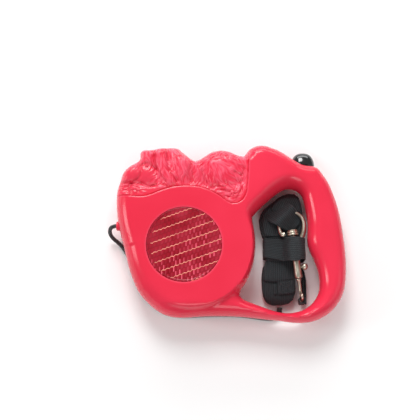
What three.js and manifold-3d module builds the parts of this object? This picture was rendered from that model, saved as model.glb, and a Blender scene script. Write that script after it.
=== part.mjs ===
// Retractable dog leash: two moulded shells with a lying-dog relief, spring reel, thumb brake, reflectors, and the leash's strap end with a bolt snap.
// Millimetres. The leash lies on its back: +Z out of the front face, +X towards the handle, +Y towards the thumb button.
// Origin: centre of the casing's outline, on the surface that it lies on.
import * as THREE from "three";
import { mergeVertices } from "three/addons/utils/BufferGeometryUtils.js";
import Module from "manifold-3d";

const wasm = await Module();
wasm.setup();

// ---- driving dimensions ----
const ZM = 18; // parting plane
const PLATE_H = 18; // flat faces of the reel housing above and below the parting plane
const HANDLE_H = 14; // flat faces of the handle
const LIP = 1.6; // straight wall of each shell at the parting plane
const REEL = [-34, -11.5]; // reel axis
const CHAMBER_R = 45.2;
const DISC = [-31, -11.5]; // centre of the round face of the housing
const DISC_R = 48.9;
const REFLECTOR = [-36.4, -11.5];
const REFLECTOR_R = 29.2;
const CORD_R = 1.6;
const NOZZLE_Y = 6;
const PIVOT = [-14, 49.2]; // brake lever's pivot
const SNAP = [48.7, 7.6, 17.2]; // centre of the snap's jaw
const SNAP_TILT = 6.6; // degrees
const SCREWS = [[-36, -61.2], [7, -59], [75.5, -51.5], [74.6, 31.6], [30, 62.4], [-76, 46]];

const OUTLINE = [[15.0, 67.5], [21.1, 70.6], [27.6, 71.0], [32.5, 69.6], [38.5, 67.3], [44.5, 63.9], [48.5, 61.2], [52.5, 58.7], [56.5, 56.3], [60.5, 55.0], [67.0, 54.2], [71.0, 52.0], [74.1, 47.8], [77.6, 42.4], [80.3, 37.0], [83.2, 28.8], [85.6, 20.6], [87.5, 11.6], [89.0, 1.0], [90.3, -10.2], [90.9, -21.5], [90.7, -31.8], [89.8, -41.3], [88.3, -47.2], [85.9, -52.7], [81.4, -59.0], [76.0, -64.0], [69.9, -67.6], [62.4, -70.2], [53.8, -71.0], [46.0, -70.5], [38.3, -69.4], [25.8, -68.1], [14.9, -66.8], [5.6, -66.0], [-8.5, -65.7], [-23.3, -65.9], [-35.8, -66.8], [-43.6, -66.6], [-51.4, -64.8], [-58.4, -60.9], [-63.2, -57.0], [-68.7, -51.5], [-72.8, -46.0], [-76.8, -37.4], [-80.2, -27.8], [-82.5, -19.1], [-84.9, -9.4], [-87.2, -1.4], [-89.1, 6.7], [-90.3, 14.9], [-90.9, 23.0], [-90.8, 31.3], [-89.8, 36.2], [-88.3, 40.8], [-87.1, 45.3], [-85.3, 49.1], [-82.5, 52.4], [-78.5, 55.3], [-74.5, 57.6], [-72.7, 59.9], [-72.4, 65.0], [-70.6, 66.8], [-65.0, 67.5], [-58.5, 68.1], [-52.0, 68.9], [-46.3, 69.3], [-41.8, 68.5], [-37.9, 65.2], [-33.7, 61.6], [-28.6, 58.4], [-24.4, 59.7], [-20.3, 62.4], [-14.9, 65.8], [-8.1, 67.3], [-0.9, 66.2], [5.2, 63.5], [10.1, 62.2], [12.5, 64.1]];
const OPENING = [[17.5, 10.2], [17.7, 13.2], [20.0, 16.4], [23.2, 19.9], [26.4, 23.0], [30.5, 26.7], [34.5, 30.2], [38.3, 33.2], [42.2, 35.5], [46.2, 36.8], [51.4, 36.1], [55.7, 33.4], [58.1, 29.6], [59.4, 24.0], [60.4, 18.3], [61.3, 12.6], [61.7, 6.9], [61.4, 1.3], [61.1, -4.3], [61.6, -10.0], [63.4, -15.6], [65.9, -21.1], [68.3, -27.7], [69.8, -36.2], [69.7, -43.5], [67.6, -50.3], [63.6, -55.8], [58.0, -60.1], [51.4, -62.6], [44.3, -63.4], [37.4, -62.7], [30.4, -60.7], [23.4, -58.2], [16.4, -55.5], [9.6, -52.5], [7.2, -49.3], [8.0, -45.4], [10.6, -41.3], [13.6, -36.4], [16.3, -30.1], [18.3, -23.4], [19.4, -15.6], [19.7, -7.6], [19.1, 0.5], [18.1, 6.1]];
const PLATE_LINE = [[-96, 28.2], [-91.6, 28.0], [-88.4, 27.7], [-82.9, 27.5], [-77.4, 27.2], [-70.4, 26.8], [-64.1, 28.0], [-57.9, 30.5], [-50.8, 33.1], [-46.1, 34.3], [-40.6, 35.1], [-33.6, 35.4], [-28.1, 35.1], [-22.5, 34.0], [-16.3, 31.6], [-9.6, 28.0], [-3.7, 23.5], [-1.0, 21.9], [2.1, 21.2], [6.0, 21.9], [8.8, 23.7], [10.8, 26.4], [12.5, 30.8], [13.2, 37.0], [13.9, 45.1], [14.4, 54.2], [14.8, 64.2], [15.0, 74]];
// The lying dog, as rounded masses: x, y, half-length, half-width, turn in degrees, height above the parting plane.
const DOG = [[-79, 42.5, 10.5, 12, 20, 15.5], [-66, 42.5, 11, 12.5, 0, 16.8], [-63, 58, 11, 10, 0, 14.5], [-53, 48, 8.5, 20, 8, 17.6], [-42, 51, 12, 18, -10, 16.8], [-28, 46, 16, 13, 0, 14.5], [-5, 46, 18, 20, 0, 17.2], [4, 28, 9, 6, -35, 15], [-72, 31, 9, 4.5, 0, 14.5]];

// ---- helpers ----
function solid(geometry) {
  const g = geometry.clone();
  g.deleteAttribute("normal");
  g.deleteAttribute("uv");
  const m = mergeVertices(g, 1e-4);
  const make = (tri) => new wasm.Manifold(new wasm.Mesh({ numProp: 3, vertProperties: m.attributes.position.array, triVerts: tri }));
  const tri = new Uint32Array(m.index.array);
  const made = make(tri);
  if (made.volume() >= 0) return made;
  for (let i = 0; i < tri.length; i += 3) [tri[i + 1], tri[i + 2]] = [tri[i + 2], tri[i + 1]];
  return make(tri);
}

function geometryOf(shape) {
  const m = shape.getMesh(), n = m.numProp, v = new Float32Array(m.numVert * 3);
  for (let i = 0; i < m.numVert; i++) v.set(m.vertProperties.subarray(i * n, i * n + 3), i * 3);
  const g = new THREE.BufferGeometry().setAttribute("position", new THREE.BufferAttribute(v, 3)).setIndex(new THREE.BufferAttribute(m.triVerts, 1));
  g.computeVertexNormals();
  return g;
}

const vec = (list) => list.map(([x, y]) => new THREE.Vector2(x, y));

const area = (poly) => poly.reduce((s, [x, y], i) => s + x * poly[(i + 1) % poly.length][1] - poly[(i + 1) % poly.length][0] * y, 0) / 2;
const turnedTo = (sign, poly) => (area(poly) * sign > 0 ? poly : [...poly].reverse());

function prismGeometry(points, z0, z1, holes = []) {
  const shape = new THREE.Shape(vec(turnedTo(1, points)));
  for (const h of holes) shape.holes.push(new THREE.Path(vec(turnedTo(-1, h))));
  return new THREE.ExtrudeGeometry(shape, { depth: z1 - z0, bevelEnabled: false }).translate(0, 0, z0);
}
const prism = (points, z0, z1, holes) => solid(prismGeometry(points, z0, z1, holes));

// A prism whose outline is drawn in X and Z and which runs along Y.
const prismAlongY = (points, y0, y1, holes) => solid(prismGeometry(points.map(([x, z]) => [x, -z]), y0, y1, holes && holes.map((h) => h.map(([x, z]) => [x, -z]))).rotateX(-Math.PI / 2));

const turnedGeometry = (profile, segments = 32) => new THREE.LatheGeometry(vec(profile), segments).rotateX(Math.PI / 2);
const turned = (profile, x, y, segments) => solid(turnedGeometry(profile, segments).translate(x, y, 0));

function rodGeometry(r, a, b, segments = 16) {
  const A = new THREE.Vector3(...a), B = new THREE.Vector3(...b), d = B.clone().sub(A);
  const g = new THREE.CylinderGeometry(r, r, d.length(), segments);
  g.applyQuaternion(new THREE.Quaternion().setFromUnitVectors(new THREE.Vector3(0, 1, 0), d.clone().normalize()));
  return g.translate(...A.add(B).multiplyScalar(0.5).toArray());
}
const rod = (r, a, b, segments) => solid(rodGeometry(r, a, b, segments));

const block = (x0, x1, y0, y1, z0, z1) => solid(new THREE.BoxGeometry(x1 - x0, y1 - y0, z1 - z0).translate((x0 + x1) / 2, (y0 + y1) / 2, (z0 + z1) / 2));

// A tube of round section along a smooth path.
function tube(points, r, sides, steps, type = "centripetal") {
  const curve = new THREE.CatmullRomCurve3(points.map((p) => new THREE.Vector3(...p)), false, type);
  const section = new THREE.Shape();
  for (let i = 0; i < sides; i++) {
    const a = (2 * Math.PI * i) / sides;
    i ? section.lineTo(r * Math.cos(a), r * Math.sin(a)) : section.moveTo(r, 0);
  }
  return solid(new THREE.ExtrudeGeometry(section, { extrudePath: curve, steps, bevelEnabled: false }));
}

const smooth = (a, b, x) => {
  const t = Math.min(1, Math.max(0, (x - a) / (b - a)));
  return t * t * (3 - 2 * t);
};

// A closed loop through the points, resampled every step.
function loop(points, step) {
  const curve = new THREE.CatmullRomCurve3(points.map(([x, y]) => new THREE.Vector3(x, y, 0)), true, "centripetal");
  const n = Math.round(curve.getLength() / step);
  return curve.getSpacedPoints(n).slice(0, n).map((p) => [p.x, p.y]);
}
function inside(poly, x, y) {
  let c = false;
  for (let i = 0, j = poly.length - 1; i < poly.length; j = i++) {
    const [xi, yi] = poly[i], [xj, yj] = poly[j];
    if (yi > y !== yj > y && x < ((xj - xi) * (y - yi)) / (yj - yi) + xi) c = !c;
  }
  return c;
}
function away(poly, x, y) {
  let best = 1e9;
  for (let i = 0, j = poly.length - 1; i < poly.length; j = i++) {
    const [ax, ay] = poly[j], [bx, by] = poly[i];
    const dx = bx - ax, dy = by - ay;
    const t = Math.min(1, Math.max(0, ((x - ax) * dx + (y - ay) * dy) / (dx * dx + dy * dy)));
    best = Math.min(best, Math.hypot(x - ax - t * dx, y - ay - t * dy));
  }
  return best;
}

// Delaunay triangles of a set of points.
function delaunay(pts) {
  const n = pts.length, P = [...pts, [-1e4, -1e4], [1e4, -1e4], [0, 1e4]];
  const circle = (a, b, c) => {
    const [ax, ay] = P[a], [bx, by] = P[b], [cx, cy] = P[c];
    const d = 2 * (ax * (by - cy) + bx * (cy - ay) + cx * (ay - by));
    const x = ((ax * ax + ay * ay) * (by - cy) + (bx * bx + by * by) * (cy - ay) + (cx * cx + cy * cy) * (ay - by)) / d;
    const y = ((ax * ax + ay * ay) * (cx - bx) + (bx * bx + by * by) * (ax - cx) + (cx * cx + cy * cy) * (bx - ax)) / d;
    return { t: [a, b, c], x, y, r: (ax - x) ** 2 + (ay - y) ** 2 };
  };
  let tris = [circle(n, n + 1, n + 2)];
  for (let i = 0; i < n; i++) {
    const [x, y] = P[i], edges = new Map(), keep = [];
    for (const t of tris) {
      if ((t.x - x) ** 2 + (t.y - y) ** 2 > t.r * (1 + 1e-12)) keep.push(t);
      else
        for (const [a, b] of [[t.t[0], t.t[1]], [t.t[1], t.t[2]], [t.t[2], t.t[0]]]) {
          const k = a < b ? a + "," + b : b + "," + a;
          edges.has(k) ? edges.set(k, null) : edges.set(k, [a, b]);
        }
    }
    for (const e of edges.values()) if (e) keep.push(circle(e[0], e[1], i));
    tris = keep;
  }
  return tris.filter((t) => t.t.every((v) => v < n)).map((t) => {
    const [a, b, c] = t.t, [ax, ay] = P[a], [bx, by] = P[b], [cx, cy] = P[c];
    return (bx - ax) * (cy - ay) - (by - ay) * (cx - ax) > 0 ? [a, b, c] : [a, c, b];
  });
}

// ---- outer form of the casing ----
const outer = turnedTo(1, loop(OUTLINE, 5.8)), hole = turnedTo(-1, loop(OPENING, 5.4)); // material lies to the left of both loops
const edgeDistance = (x, y) => Math.min(away(outer, x, y), away(hole, x, y));
const plateCurve = loopOpen(PLATE_LINE, 5);
function loopOpen(points, step) {
  const curve = new THREE.CatmullRomCurve3(points.map(([x, y]) => new THREE.Vector3(x, y, 0)), false, "centripetal");
  return curve.getSpacedPoints(Math.round(curve.getLength() / step)).map((p) => [p.x, p.y]);
}
const dogRegion = [...plateCurve, [15, 90], [-110, 90], [-110, 28]];
const inDog = (x, y) => inside(dogRegion, x, y);

// Width over which the face rounds off towards the rim.
function roundWidth(x, y) {
  if (inDog(x, y)) return 6;
  if (x < 24 && x > -20 && away(hole, x, y) < away(outer, x, y)) return 3.5 + 5 * smooth(2, 20, y);
  return 9 + 3.5 * smooth(0, -50, x);
}
function level(x, y) {
  const rd = Math.hypot(x - DISC[0], y - DISC[1]) - DISC_R, phi = (Math.atan2(y - DISC[1], x - DISC[0]) * 180) / Math.PI;
  const sector = smooth(-125, -95, phi) * (1 - smooth(14, 30, phi));
  const step = (PLATE_H - HANDLE_H) * sector * smooth(-1.5, 2, rd);
  const low = 1.5 * (1 - smooth(-125, -95, phi)) * smooth(-10, 8, rd) * (phi < 0 ? 1 : 0);
  const shoulder = y > 6 ? (PLATE_H - HANDLE_H) * smooth(24, 66, x) : 0;
  return PLATE_H - Math.max(step, low, shoulder);
}
function dogHeight(x, y) {
  let h = 12.4;
  for (const [cx, cy, a, b, turn, top] of DOG) {
    const c = Math.cos((turn * Math.PI) / 180), s = Math.sin((turn * Math.PI) / 180);
    const u = ((x - cx) * c + (y - cy) * s) / a, v = (-(x - cx) * s + (y - cy) * c) / b, q = u * u + v * v;
    if (q < 1) h = Math.max(h, 12.4 + (top - 12.4) * Math.sqrt(1 - q));
  }
  return h;
}
function height(x, y, d) {
  const w = roundWidth(x, y), t = Math.min(1, d / w), top = inDog(x, y) ? dogHeight(x, y) : level(x, y);
  return LIP + (top - LIP) * Math.sqrt(1 - (1 - t) ** 2);
}

const formPoints = (() => {
  const fixed = [...outer, ...hole], more = [];
  const add = (x, y, gap, minEdge) => {
    if (!inside(outer, x, y) || inside(hole, x, y) || edgeDistance(x, y) < minEdge) return;
    for (const [a, b] of more) if ((a - x) ** 2 + (b - y) ** 2 < gap * gap) return;
    more.push([x, y]);
  };
  for (const off of [0.7, -0.7])
    plateCurve.forEach(([x, y], i) => {
      const [ax, ay] = plateCurve[Math.max(0, i - 1)], [bx, by] = plateCurve[Math.min(plateCurve.length - 1, i + 1)], l = Math.hypot(bx - ax, by - ay);
      add(x - (off * (by - ay)) / l, y + (off * (bx - ax)) / l, 1.2, 2.2);
    });
  for (const d of [1.2, 3.8])
    for (const poly of [outer, hole])
      poly.forEach(([x, y], i) => {
        const [ax, ay] = poly[(i + poly.length - 1) % poly.length], [bx, by] = poly[(i + 1) % poly.length], l = Math.hypot(bx - ax, by - ay);
        add(x - (d * (by - ay)) / l, y + (d * (bx - ax)) / l, d < 2 ? 1.6 : 2.6, d * 0.94);
      });
  for (const r of [DISC_R - 1.6, DISC_R + 2.2])
    for (let a = -120; a < 10; a += 6) add(DISC[0] + r * Math.cos((a * Math.PI) / 180), DISC[1] + r * Math.sin((a * Math.PI) / 180), 2.2, 2.2);
  for (let y = 30; y < 72; y += 5) for (let x = -92; x < 16; x += 5.6) if (inDog(x, y)) add(x + 0.3 * y - 9, y, 3.4, 3.5);
  for (let y = -70; y < 72; y += 1.9)
    for (let x = -92; x < 92; x += 1.9) {
      const d = edgeDistance(x, y);
      if (d < 16) add(x, y, 3.2 + 0.3 * d, 5.2);
    }
  for (let y = -70; y < 72; y += 9.5) for (let x = -92; x < 92; x += 10) add(x + (Math.round(y / 9.5) % 2) * 5, y, 7, 9.5);
  return [...fixed, ...more];
})();
const formTriangles = delaunay(formPoints).filter((t) => {
  const x = (formPoints[t[0]][0] + formPoints[t[1]][0] + formPoints[t[2]][0]) / 3, y = (formPoints[t[0]][1] + formPoints[t[1]][1] + formPoints[t[2]][1]) / 3;
  return inside(outer, x, y) && !inside(hole, x, y);
});

// One half of the casing's outer form: side 1 is the front, above the parting plane, and -1 the back.
function form(side) {
  const n = formPoints.length, pos = [], tri = [];
  for (const [x, y] of formPoints) pos.push(x, y, ZM + side * height(x, y, edgeDistance(x, y)));
  for (const [a, b, c] of formTriangles) side > 0 ? tri.push(a, b, c) : tri.push(a, c, b);
  const rim = [...outer, ...hole].length;
  for (let i = 0; i < rim; i++) pos.push(formPoints[i][0], formPoints[i][1], ZM + side * 0.15);
  const faces = THREE.ShapeUtils.triangulateShape(vec(outer), [vec(hole)]);
  const index = (k) => n + k;
  for (const [a, b, c] of faces) {
    const [pa, pb, pc] = [a, b, c].map((k) => formPoints[k]);
    const up = (pb[0] - pa[0]) * (pc[1] - pa[1]) - (pb[1] - pa[1]) * (pc[0] - pa[0]) > 0;
    up === side > 0 ? tri.push(index(a), index(c), index(b)) : tri.push(index(a), index(b), index(c));
  }
  const wall = (start, count) => {
    for (let i = 0; i < count; i++) {
      const a = start + i, b = start + ((i + 1) % count);
      side > 0 ? tri.push(n + a, n + b, b, n + a, b, a) : tri.push(n + a, b, n + b, n + a, a, b);
    }
  };
  wall(0, outer.length);
  wall(outer.length, hole.length);
  const g = new THREE.BufferGeometry().setAttribute("position", new THREE.BufferAttribute(new Float32Array(pos), 3));
  g.setIndex(tri);
  return solid(g);
}

// ---- shells ----
const circlePoints = (r, x, y, n) => Array.from({ length: n }, (_, i) => [x + r * Math.cos((2 * Math.PI * i) / n), y + r * Math.sin((2 * Math.PI * i) / n)]);
const POCKET_HEAD = [[-70, 38], [-68, 56], [-52, 60.5], [-43, 58], [-34, 52.5], [-26, 50.5], [-26, 39], [-38, 38], [-50, 37.2]];
const POCKET_HANDLE = [[73.5, -43], [83, -43], [84.5, -30], [84.5, -12], [82, 8], [78, 24], [66, 26], [66.5, 12], [67, -6], [70, -16], [74, -30]];
const POCKET_LEVER = [[-21, 43], [-12, 41.5], [-8, 30], [-14, 27], [-6, 8], [6, 14], [6.5, 32.2], [15.5, 32.2], [16, 42.2], [30, 41.8], [44, 41.0], [48, 40.8], [58.2, 40.8], [58.2, 55], [48, 54.6], [-16, 56.6], [-21, 52]];
// the front one stops short of the rounded corner beside the button, so the wall there stays closed
const POCKET_LEVER_FRONT = [...POCKET_LEVER.slice(0, 13), [58.2, 50.7], [52, 54.75], ...POCKET_LEVER.slice(14)];
const SLOT = [[48.3, 46.2], [48.3, 72], [71.4, 72], [71.4, 36.5], [58.2, 36.5], [58.2, 46.2]];

function shell(side) {
  let s = form(side);
  const z = (h) => ZM + side * h;
  const cut = (shape) => (s = s.subtract(shape));
  const span = (points, h0, h1) => prism(points, Math.min(z(h0), z(h1)), Math.max(z(h0), z(h1)));
  cut(span(circlePoints(CHAMBER_R, ...REEL, 48), -1, 11.2));
  cut(span(circlePoints(39.5, ...REEL, 40), 11, 13.4));
  cut(span(circlePoints(REFLECTOR_R + 0.3, ...REFLECTOR, 48), 15.7, 19));
  cut(span(POCKET_HEAD, -1, 8));
  cut(span(POCKET_HANDLE, -1, 9));
  cut(side > 0 ? span(POCKET_LEVER_FRONT, -1, 11.4) : span(POCKET_LEVER, -1, 5));
  cut(span(SLOT, -1, 7.5));
  // leash channel and nozzle seat
  cut(rod(2.3, [-66, 16.3, ZM], [-84.5, 5.4, ZM], 12));
  cut(rod(4.1, [-80.5, NOZZLE_Y, ZM], [-95, NOZZLE_Y, ZM], 16));
  cut(rod(5.4, [-82.6, NOZZLE_Y, ZM], [-85.8, NOZZLE_Y, ZM], 16));
  // axle boss
  s = s.add(turned([[4.35, z(10.5)], [7.5, z(10.5)], [9.5, z(13.6)], [4.35, z(13.6)], [4.35, z(10.5)]], ...REEL, 24));
  if (side < 0) {
    // pivot post for the lever
    s = s.add(turned([[2.35, 10.5], [5, 10.5], [5, 24], [2.35, 24], [2.35, 10.5]], ...PIVOT, 20)).subtract(rod(2.35, [...PIVOT, 9], [...PIVOT, 25], 20));
    for (const [x, y] of SCREWS) {
      cut(rod(1.65, [x, y, -1], [x, y, 20], 12));
      cut(rod(3.1, [x, y, -1], [x, y, 10], 16));
    }
  } else {
    for (const [x, y] of SCREWS) cut(rod(1.65, [x, y, 17], [x, y, 26.4], 12));
  }
  return geometryOf(s);
}

// ---- reel ----
const drum = turned([[4.3, 8.2], [43, 8.2], [43, 10.2], [22, 10.2], [22, 25.5], [19.6, 25.5], [19.6, 10.4], [6.6, 10.4], [6.6, 11.2], [4.3, 11.2], [4.3, 8.2]], ...REEL, 32);
const TEETH = 16;
const capOutline = [];
for (let i = 0; i < TEETH; i++) {
  const mid = 40 + (i * 360) / TEETH + 180 / TEETH; // a gap faces the lever's tooth at 40 degrees
  for (const [da, r] of [[-6.2, 41.2], [-4.2, 43.8], [4.2, 43.8], [6.2, 41.2]]) capOutline.push([REEL[0] + r * Math.cos(((mid + da) * Math.PI) / 180), REEL[1] + r * Math.sin(((mid + da) * Math.PI) / 180)]);
}
const reelCap = prism(capOutline, 25.8, 28.1, [circlePoints(4.3, ...REEL, 20)]).add(turned([[4.3, 24.9], [6.6, 24.9], [6.6, 26.2], [4.3, 26.2], [4.3, 24.9]], ...REEL, 20));
const winding = turned([[22.3, 10.5], [38.4, 10.5], [38.4, 25.5], [22.3, 25.5], [22.3, 10.5]], ...REEL, 32);

// flat spiral spring between the fixed axle and the drum
const spiral = [];
const TURNS = 5.5, SPRING_STEPS = 84, spiralAt = (t, off) => {
  const a = 2 * Math.PI * TURNS * t, r = 5.2 + 13 * t + off;
  return [REEL[0] + r * Math.cos(a), REEL[1] + r * Math.sin(a)];
};
for (let i = 0; i <= SPRING_STEPS; i++) spiral.push(spiralAt(i / SPRING_STEPS, 0));
for (let i = SPRING_STEPS; i >= 0; i--) spiral.push(spiralAt(i / SPRING_STEPS, 0.7));
const mainspring = prism(spiral, 12, 24);
const axle = turned([[0, 4.9], [4.0, 4.9], [4.0, 31.1], [0, 31.1]], ...REEL, 20);

// ---- brake ----
const toothTip = [REEL[0] + 44.7 * Math.cos((40 * Math.PI) / 180), REEL[1] + 44.7 * Math.sin((40 * Math.PI) / 180)];
const leverOutline = [[-14, 54.2], [-10, 52.6], [-4, 51.5], [55.5, 51.5], [55.5, 47.4], [4, 47.4], [0, 45.5], [-1.5, 40], [3.2, 21.5], [4.2, 17.2], [toothTip[0] + 1.6, toothTip[1] - 1.9], [toothTip[0] - 1.6, toothTip[1] + 1.9], [-0.6, 24], [-9.5, 43.8], [-14, 44.2], [-18.2, 46.4], [-19, 49.2], [-18.2, 52]];
const lever = prism(leverOutline, 24.4, 28.4).subtract(rod(2.35, [...PIVOT, 22], [...PIVOT, 30], 20));
const leverPin = rod(2.0, [...PIVOT, 10.9], [...PIVOT, 29.0], 20);

function coil(centre, axis, radius, wire, from, to, turns, sides = 6) {
  const pts = [], n = turns * 10;
  for (let i = 0; i <= n; i++) {
    const a = (2 * Math.PI * turns * i) / n, t = from + ((to - from) * i) / n;
    pts.push(axis === "y" ? [centre[0] + radius * Math.cos(a), t, centre[2] + radius * Math.sin(a)] : [centre[0] + radius * Math.cos(a), centre[1] + radius * Math.sin(a), t]);
  }
  return tube(pts, wire, sides, n, "catmullrom");
}
const returnSpring = coil([11, 0, 26.4], "y", 2.4, 0.45, 33.2, 44.2, 5, 5);

const plunger = block(50.4, 66.2, 52.4, 54.6, 11.4, 24.6).add(prism([[50.4, 51.8], [55.8, 51.8], [52.2, 54.2], [50.4, 54.2]], 20, 28.2)).add(block(60.7, 63.7, 43, 53, 16.4, 19.6));
// domed thumb button
const button = (() => {
  const g = new THREE.SphereGeometry(1, 28, 18).scale(9.4, 10.9, 7.1).translate(58.6, 54.9, 18);
  return solid(g).intersect(block(49.6, 67.9, 54.9, 70, 10, 26));
})();

// ---- leash ----
const NOZZLE_PROFILE = [[2.1, 83.0], [4.9, 83.0], [4.9, 85.4], [3.7, 85.4], [3.7, 90.2], [3.2, 90.9], [2.6, 90.9], [2.1, 90.3], [2.1, 83.0]];
const nozzle = solid(new THREE.LatheGeometry(vec(NOZZLE_PROFILE), 24).rotateZ(Math.PI / 2).translate(0, NOZZLE_Y, ZM));
const run = rod(CORD_R, [-54.38, 23.15, ZM], [-80.6, 7.72, ZM], 8);
const CORD = [[-83.4, 6, 18], [-88, 6, 18], [-92, 6, 17.9], [-95.2, 5.0, 16.4], [-96.6, 2.9, 13.2], [-96.2, 0.3, 9.4], [-94.0, -2.4, 5.6], [-90.2, -5.4, 3.0], [-86.4, -9.5, 1.9], [-83.0, -15, 1.7], [-80.2, -22.5, 1.7], [-77.8, -30, 1.7], [-74.4, -38.6, 1.7], [-70.2, -46.2, 1.7], [-65.2, -52.0, 1.7], [-59.2, -57.2, 1.7], [-52.5, -61.2, 1.7], [-44.5, -63.6, 1.7], [-36, -64.1, 1.7], [-24, -63.5, 1.7], [-8, -63.2, 1.7], [6, -63.5, 1.7], [18, -64.8, 1.7], [28, -66.2, 1.7], [34.0, -66.2, 1.8], [37.6, -63.8, 2.2], [39.2, -60.4, 2.7], [39.6, -57.4, 3.1]];
const cord = tube(CORD, CORD_R, 8, 66);

// Folded webbing strap, plain outer form: a thick upper part under the snap, a lower part, and the strap's edge beside it.
const hankUpper = [[28.0, -24], [28.0, -2.8], [25.6, -0.4], [24.0, 6.7], [23.6, 12.9], [24.6, 17.0], [27.2, 20.9], [30.6, 24.2], [34.6, 27.4], [38.6, 30.5], [42.6, 32.9], [47.3, 34.3], [52.4, 33.9], [55.6, 31.6], [57.2, 27.5], [58.3, 22.0], [58.8, 16], [58.6, 4], [58.2, -1.0], [56.8, -2.8], [56.8, -24]];
const hankLower = [[28.0, -22], [28.0, -23.2], [26.0, -25.0], [25.1, -31], [25.0, -36], [25.3, -42.5], [26.0, -48.5], [27.6, -52.4], [30.2, -55.0], [34.8, -56.2], [41.4, -55.8], [47.2, -54.4], [50.0, -51.6], [51.4, -47.4], [52.2, -42.5], [51.8, -35.8], [51.2, -29.1], [50.8, -24.0], [51.0, -22]];
const hankEdge = [[53, -20], [56.8, -20], [56.8, -23.4], [60.4, -29.5], [60.9, -36], [61.0, -43], [60.7, -50], [60.2, -55.8], [56.0, -56.2], [55.7, -49.4], [55.9, -36], [55.2, -31], [53, -26]];
const hank = prism(hankUpper, 1.9, 12.4).add(prism(hankLower, 1.9, 8.6)).add(prism(hankEdge, 1.9, 8.6));
const band = prismAlongY([[26.4, 0.3], [59.6, 0.3], [59.6, 17.9], [58.1, 21.4], [55.2, 23.3], [46.9, 23.3], [44.4, 21.1], [41.8, 14.4], [26.4, 14.2]], -22.6, -3.2, [[[27.5, 1.6], [27.5, 12.9], [42.8, 13.1], [45.3, 20.3], [47.3, 22.1], [54.8, 22.1], [57.2, 20.5], [58.7, 17.6], [58.7, 1.6]]]);

// ---- bolt snap, in its own frame: the jaw's centre at the origin, the barrel along -Y ----
const arc = [];
for (let a = -10; a <= 188; a += 18) arc.push([10.2 * Math.cos((a * Math.PI) / 180), 10.2 * Math.sin((a * Math.PI) / 180), 0]);
const jaw = tube([[0.6, -22.5, 0], [2.7, -19.6, 0], [5.0, -17.0, 0], [6.4, -14.5, 0], [7.0, -11.4, 0], [8.5, -8.2, 0], [9.6, -5.0, 0], ...arc, [-9.9, -3.6, 0], [-9.2, -6.3, 0], [-8.0, -7.7, 0], [-6.3, -7.3, 0]], 1.35, 7, 40);
const alongY = (profile, segments = 16) => solid(new THREE.LatheGeometry(vec(profile), segments));
const snapBody = jaw
  .add(alongY([[0, -43.8], [2.4, -43.8], [3.1, -43.0], [3.1, -19.4], [3.6, -18.6], [3.6, -16.6], [0, -16.6]], 18))
  .subtract(alongY([[0, -42.8], [2.3, -42.8], [2.3, -16], [0, -16]]))
  .subtract(alongY([[0, -45], [1.5, -45], [1.5, -42], [0, -42]], 14))
  .add(alongY([[1.45, -31.6], [2.7, -31.6], [2.7, -30.6], [1.45, -30.6], [1.45, -31.6]]))
  .subtract(block(0, 8, -40.6, -33.9, -1.15, 1.15));
const snapBolt = alongY([[0, -36.4], [1.9, -36.4], [1.9, -33.4], [1.05, -33.2], [1.05, -17.7], [1.9, -17.5], [1.9, -9.6], [4.5, -9.4], [4.5, -7.5], [4.1, -7.3], [4.1, -6.9], [4.5, -6.7], [4.5, -5.2], [3.8, -4.8], [0, -4.8]], 18)
  .add(rod(0.8, [0, -35, 0], [4.6, -35, 0], 8))
  .add(solid(new THREE.SphereGeometry(2.7, 12, 9).translate(5.9, -35, 0)));
const boltSpring = coil([0, 0, 0], "y", 1.68, 0.3, -30.0, -22.8, 4, 5);
const eyeFrame = prismGeometry([[-7.6, -57.4], [-7.6, -60.9], [-6.2, -62.4], [6.2, -62.4], [7.6, -60.9], [7.6, -57.4], [3.0, -55.2], [1.3, -54.0], [-1.3, -54.0], [-3.0, -55.2]], -1.1, 1.1, [[[-5.8, -58.1], [-5.8, -60.6], [5.8, -60.6], [5.8, -58.1], [2.2, -56.5], [-2.2, -56.5]]]);
const eye = solid(eyeFrame.rotateY(Math.PI / 2))
  .add(alongY([[0, -55.0], [1.2, -55.0], [1.2, -45.6], [1.8, -45.2], [1.8, -44.1], [1.2, -44.1], [1.2, -42.6], [2.0, -42.6], [2.0, -41.6], [0, -41.6]], 14));
const loopOuter = [[-2.8, -63.4], [-2.8, -59.8], [-1.9, -58.8], [1.9, -58.8], [2.8, -59.8], [2.8, -63.4], [1.9, -64.4], [-1.9, -64.4]];
const strapLoop = prism(loopOuter, -5.0, 5.0, [[[-1.5, -62.9], [-1.5, -60.1], [1.5, -60.1], [1.5, -62.9]]]);

// ---- reflectors, screws ----
const reflector = (side) => turned(side > 0 ? [[0, 33.95], [REFLECTOR_R, 33.95], [REFLECTOR_R, 35.4], [REFLECTOR_R - 0.6, 35.7], [0, 35.7]] : [[0, 0.3], [REFLECTOR_R - 0.6, 0.3], [REFLECTOR_R, 0.6], [REFLECTOR_R, 2.05], [0, 2.05]], ...REFLECTOR, 48);
function screw(x, y) {
  return turned([[0, 7.2], [2.6, 7.2], [2.6, 9.6], [1.35, 9.7], [1.35, 25.2], [0, 25.9]], x, y, 12).subtract(block(x - 1.9, x + 1.9, y - 0.35, y + 0.35, 6, 8.3)).subtract(block(x - 0.35, x + 0.35, y - 1.9, y + 1.9, 6, 8.3));
}

// ---- materials ----
const paint = (color, roughness, metalness = 0) => new THREE.MeshStandardMaterial({ color, roughness, metalness });
const RED = paint(0xe8203f, 0.32), LENS = paint(0x9c1024, 0.15), BLACK = paint(0x111214, 0.12), BLACK_PLASTIC = paint(0x1a1a1c, 0.45), WEBBING = paint(0x17181a, 0.85), STEEL = paint(0xb9bcc0, 0.3, 1), ZINC = paint(0xd9c7ae, 0.25, 1), NATURAL = paint(0xe8e4da, 0.5);

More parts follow.
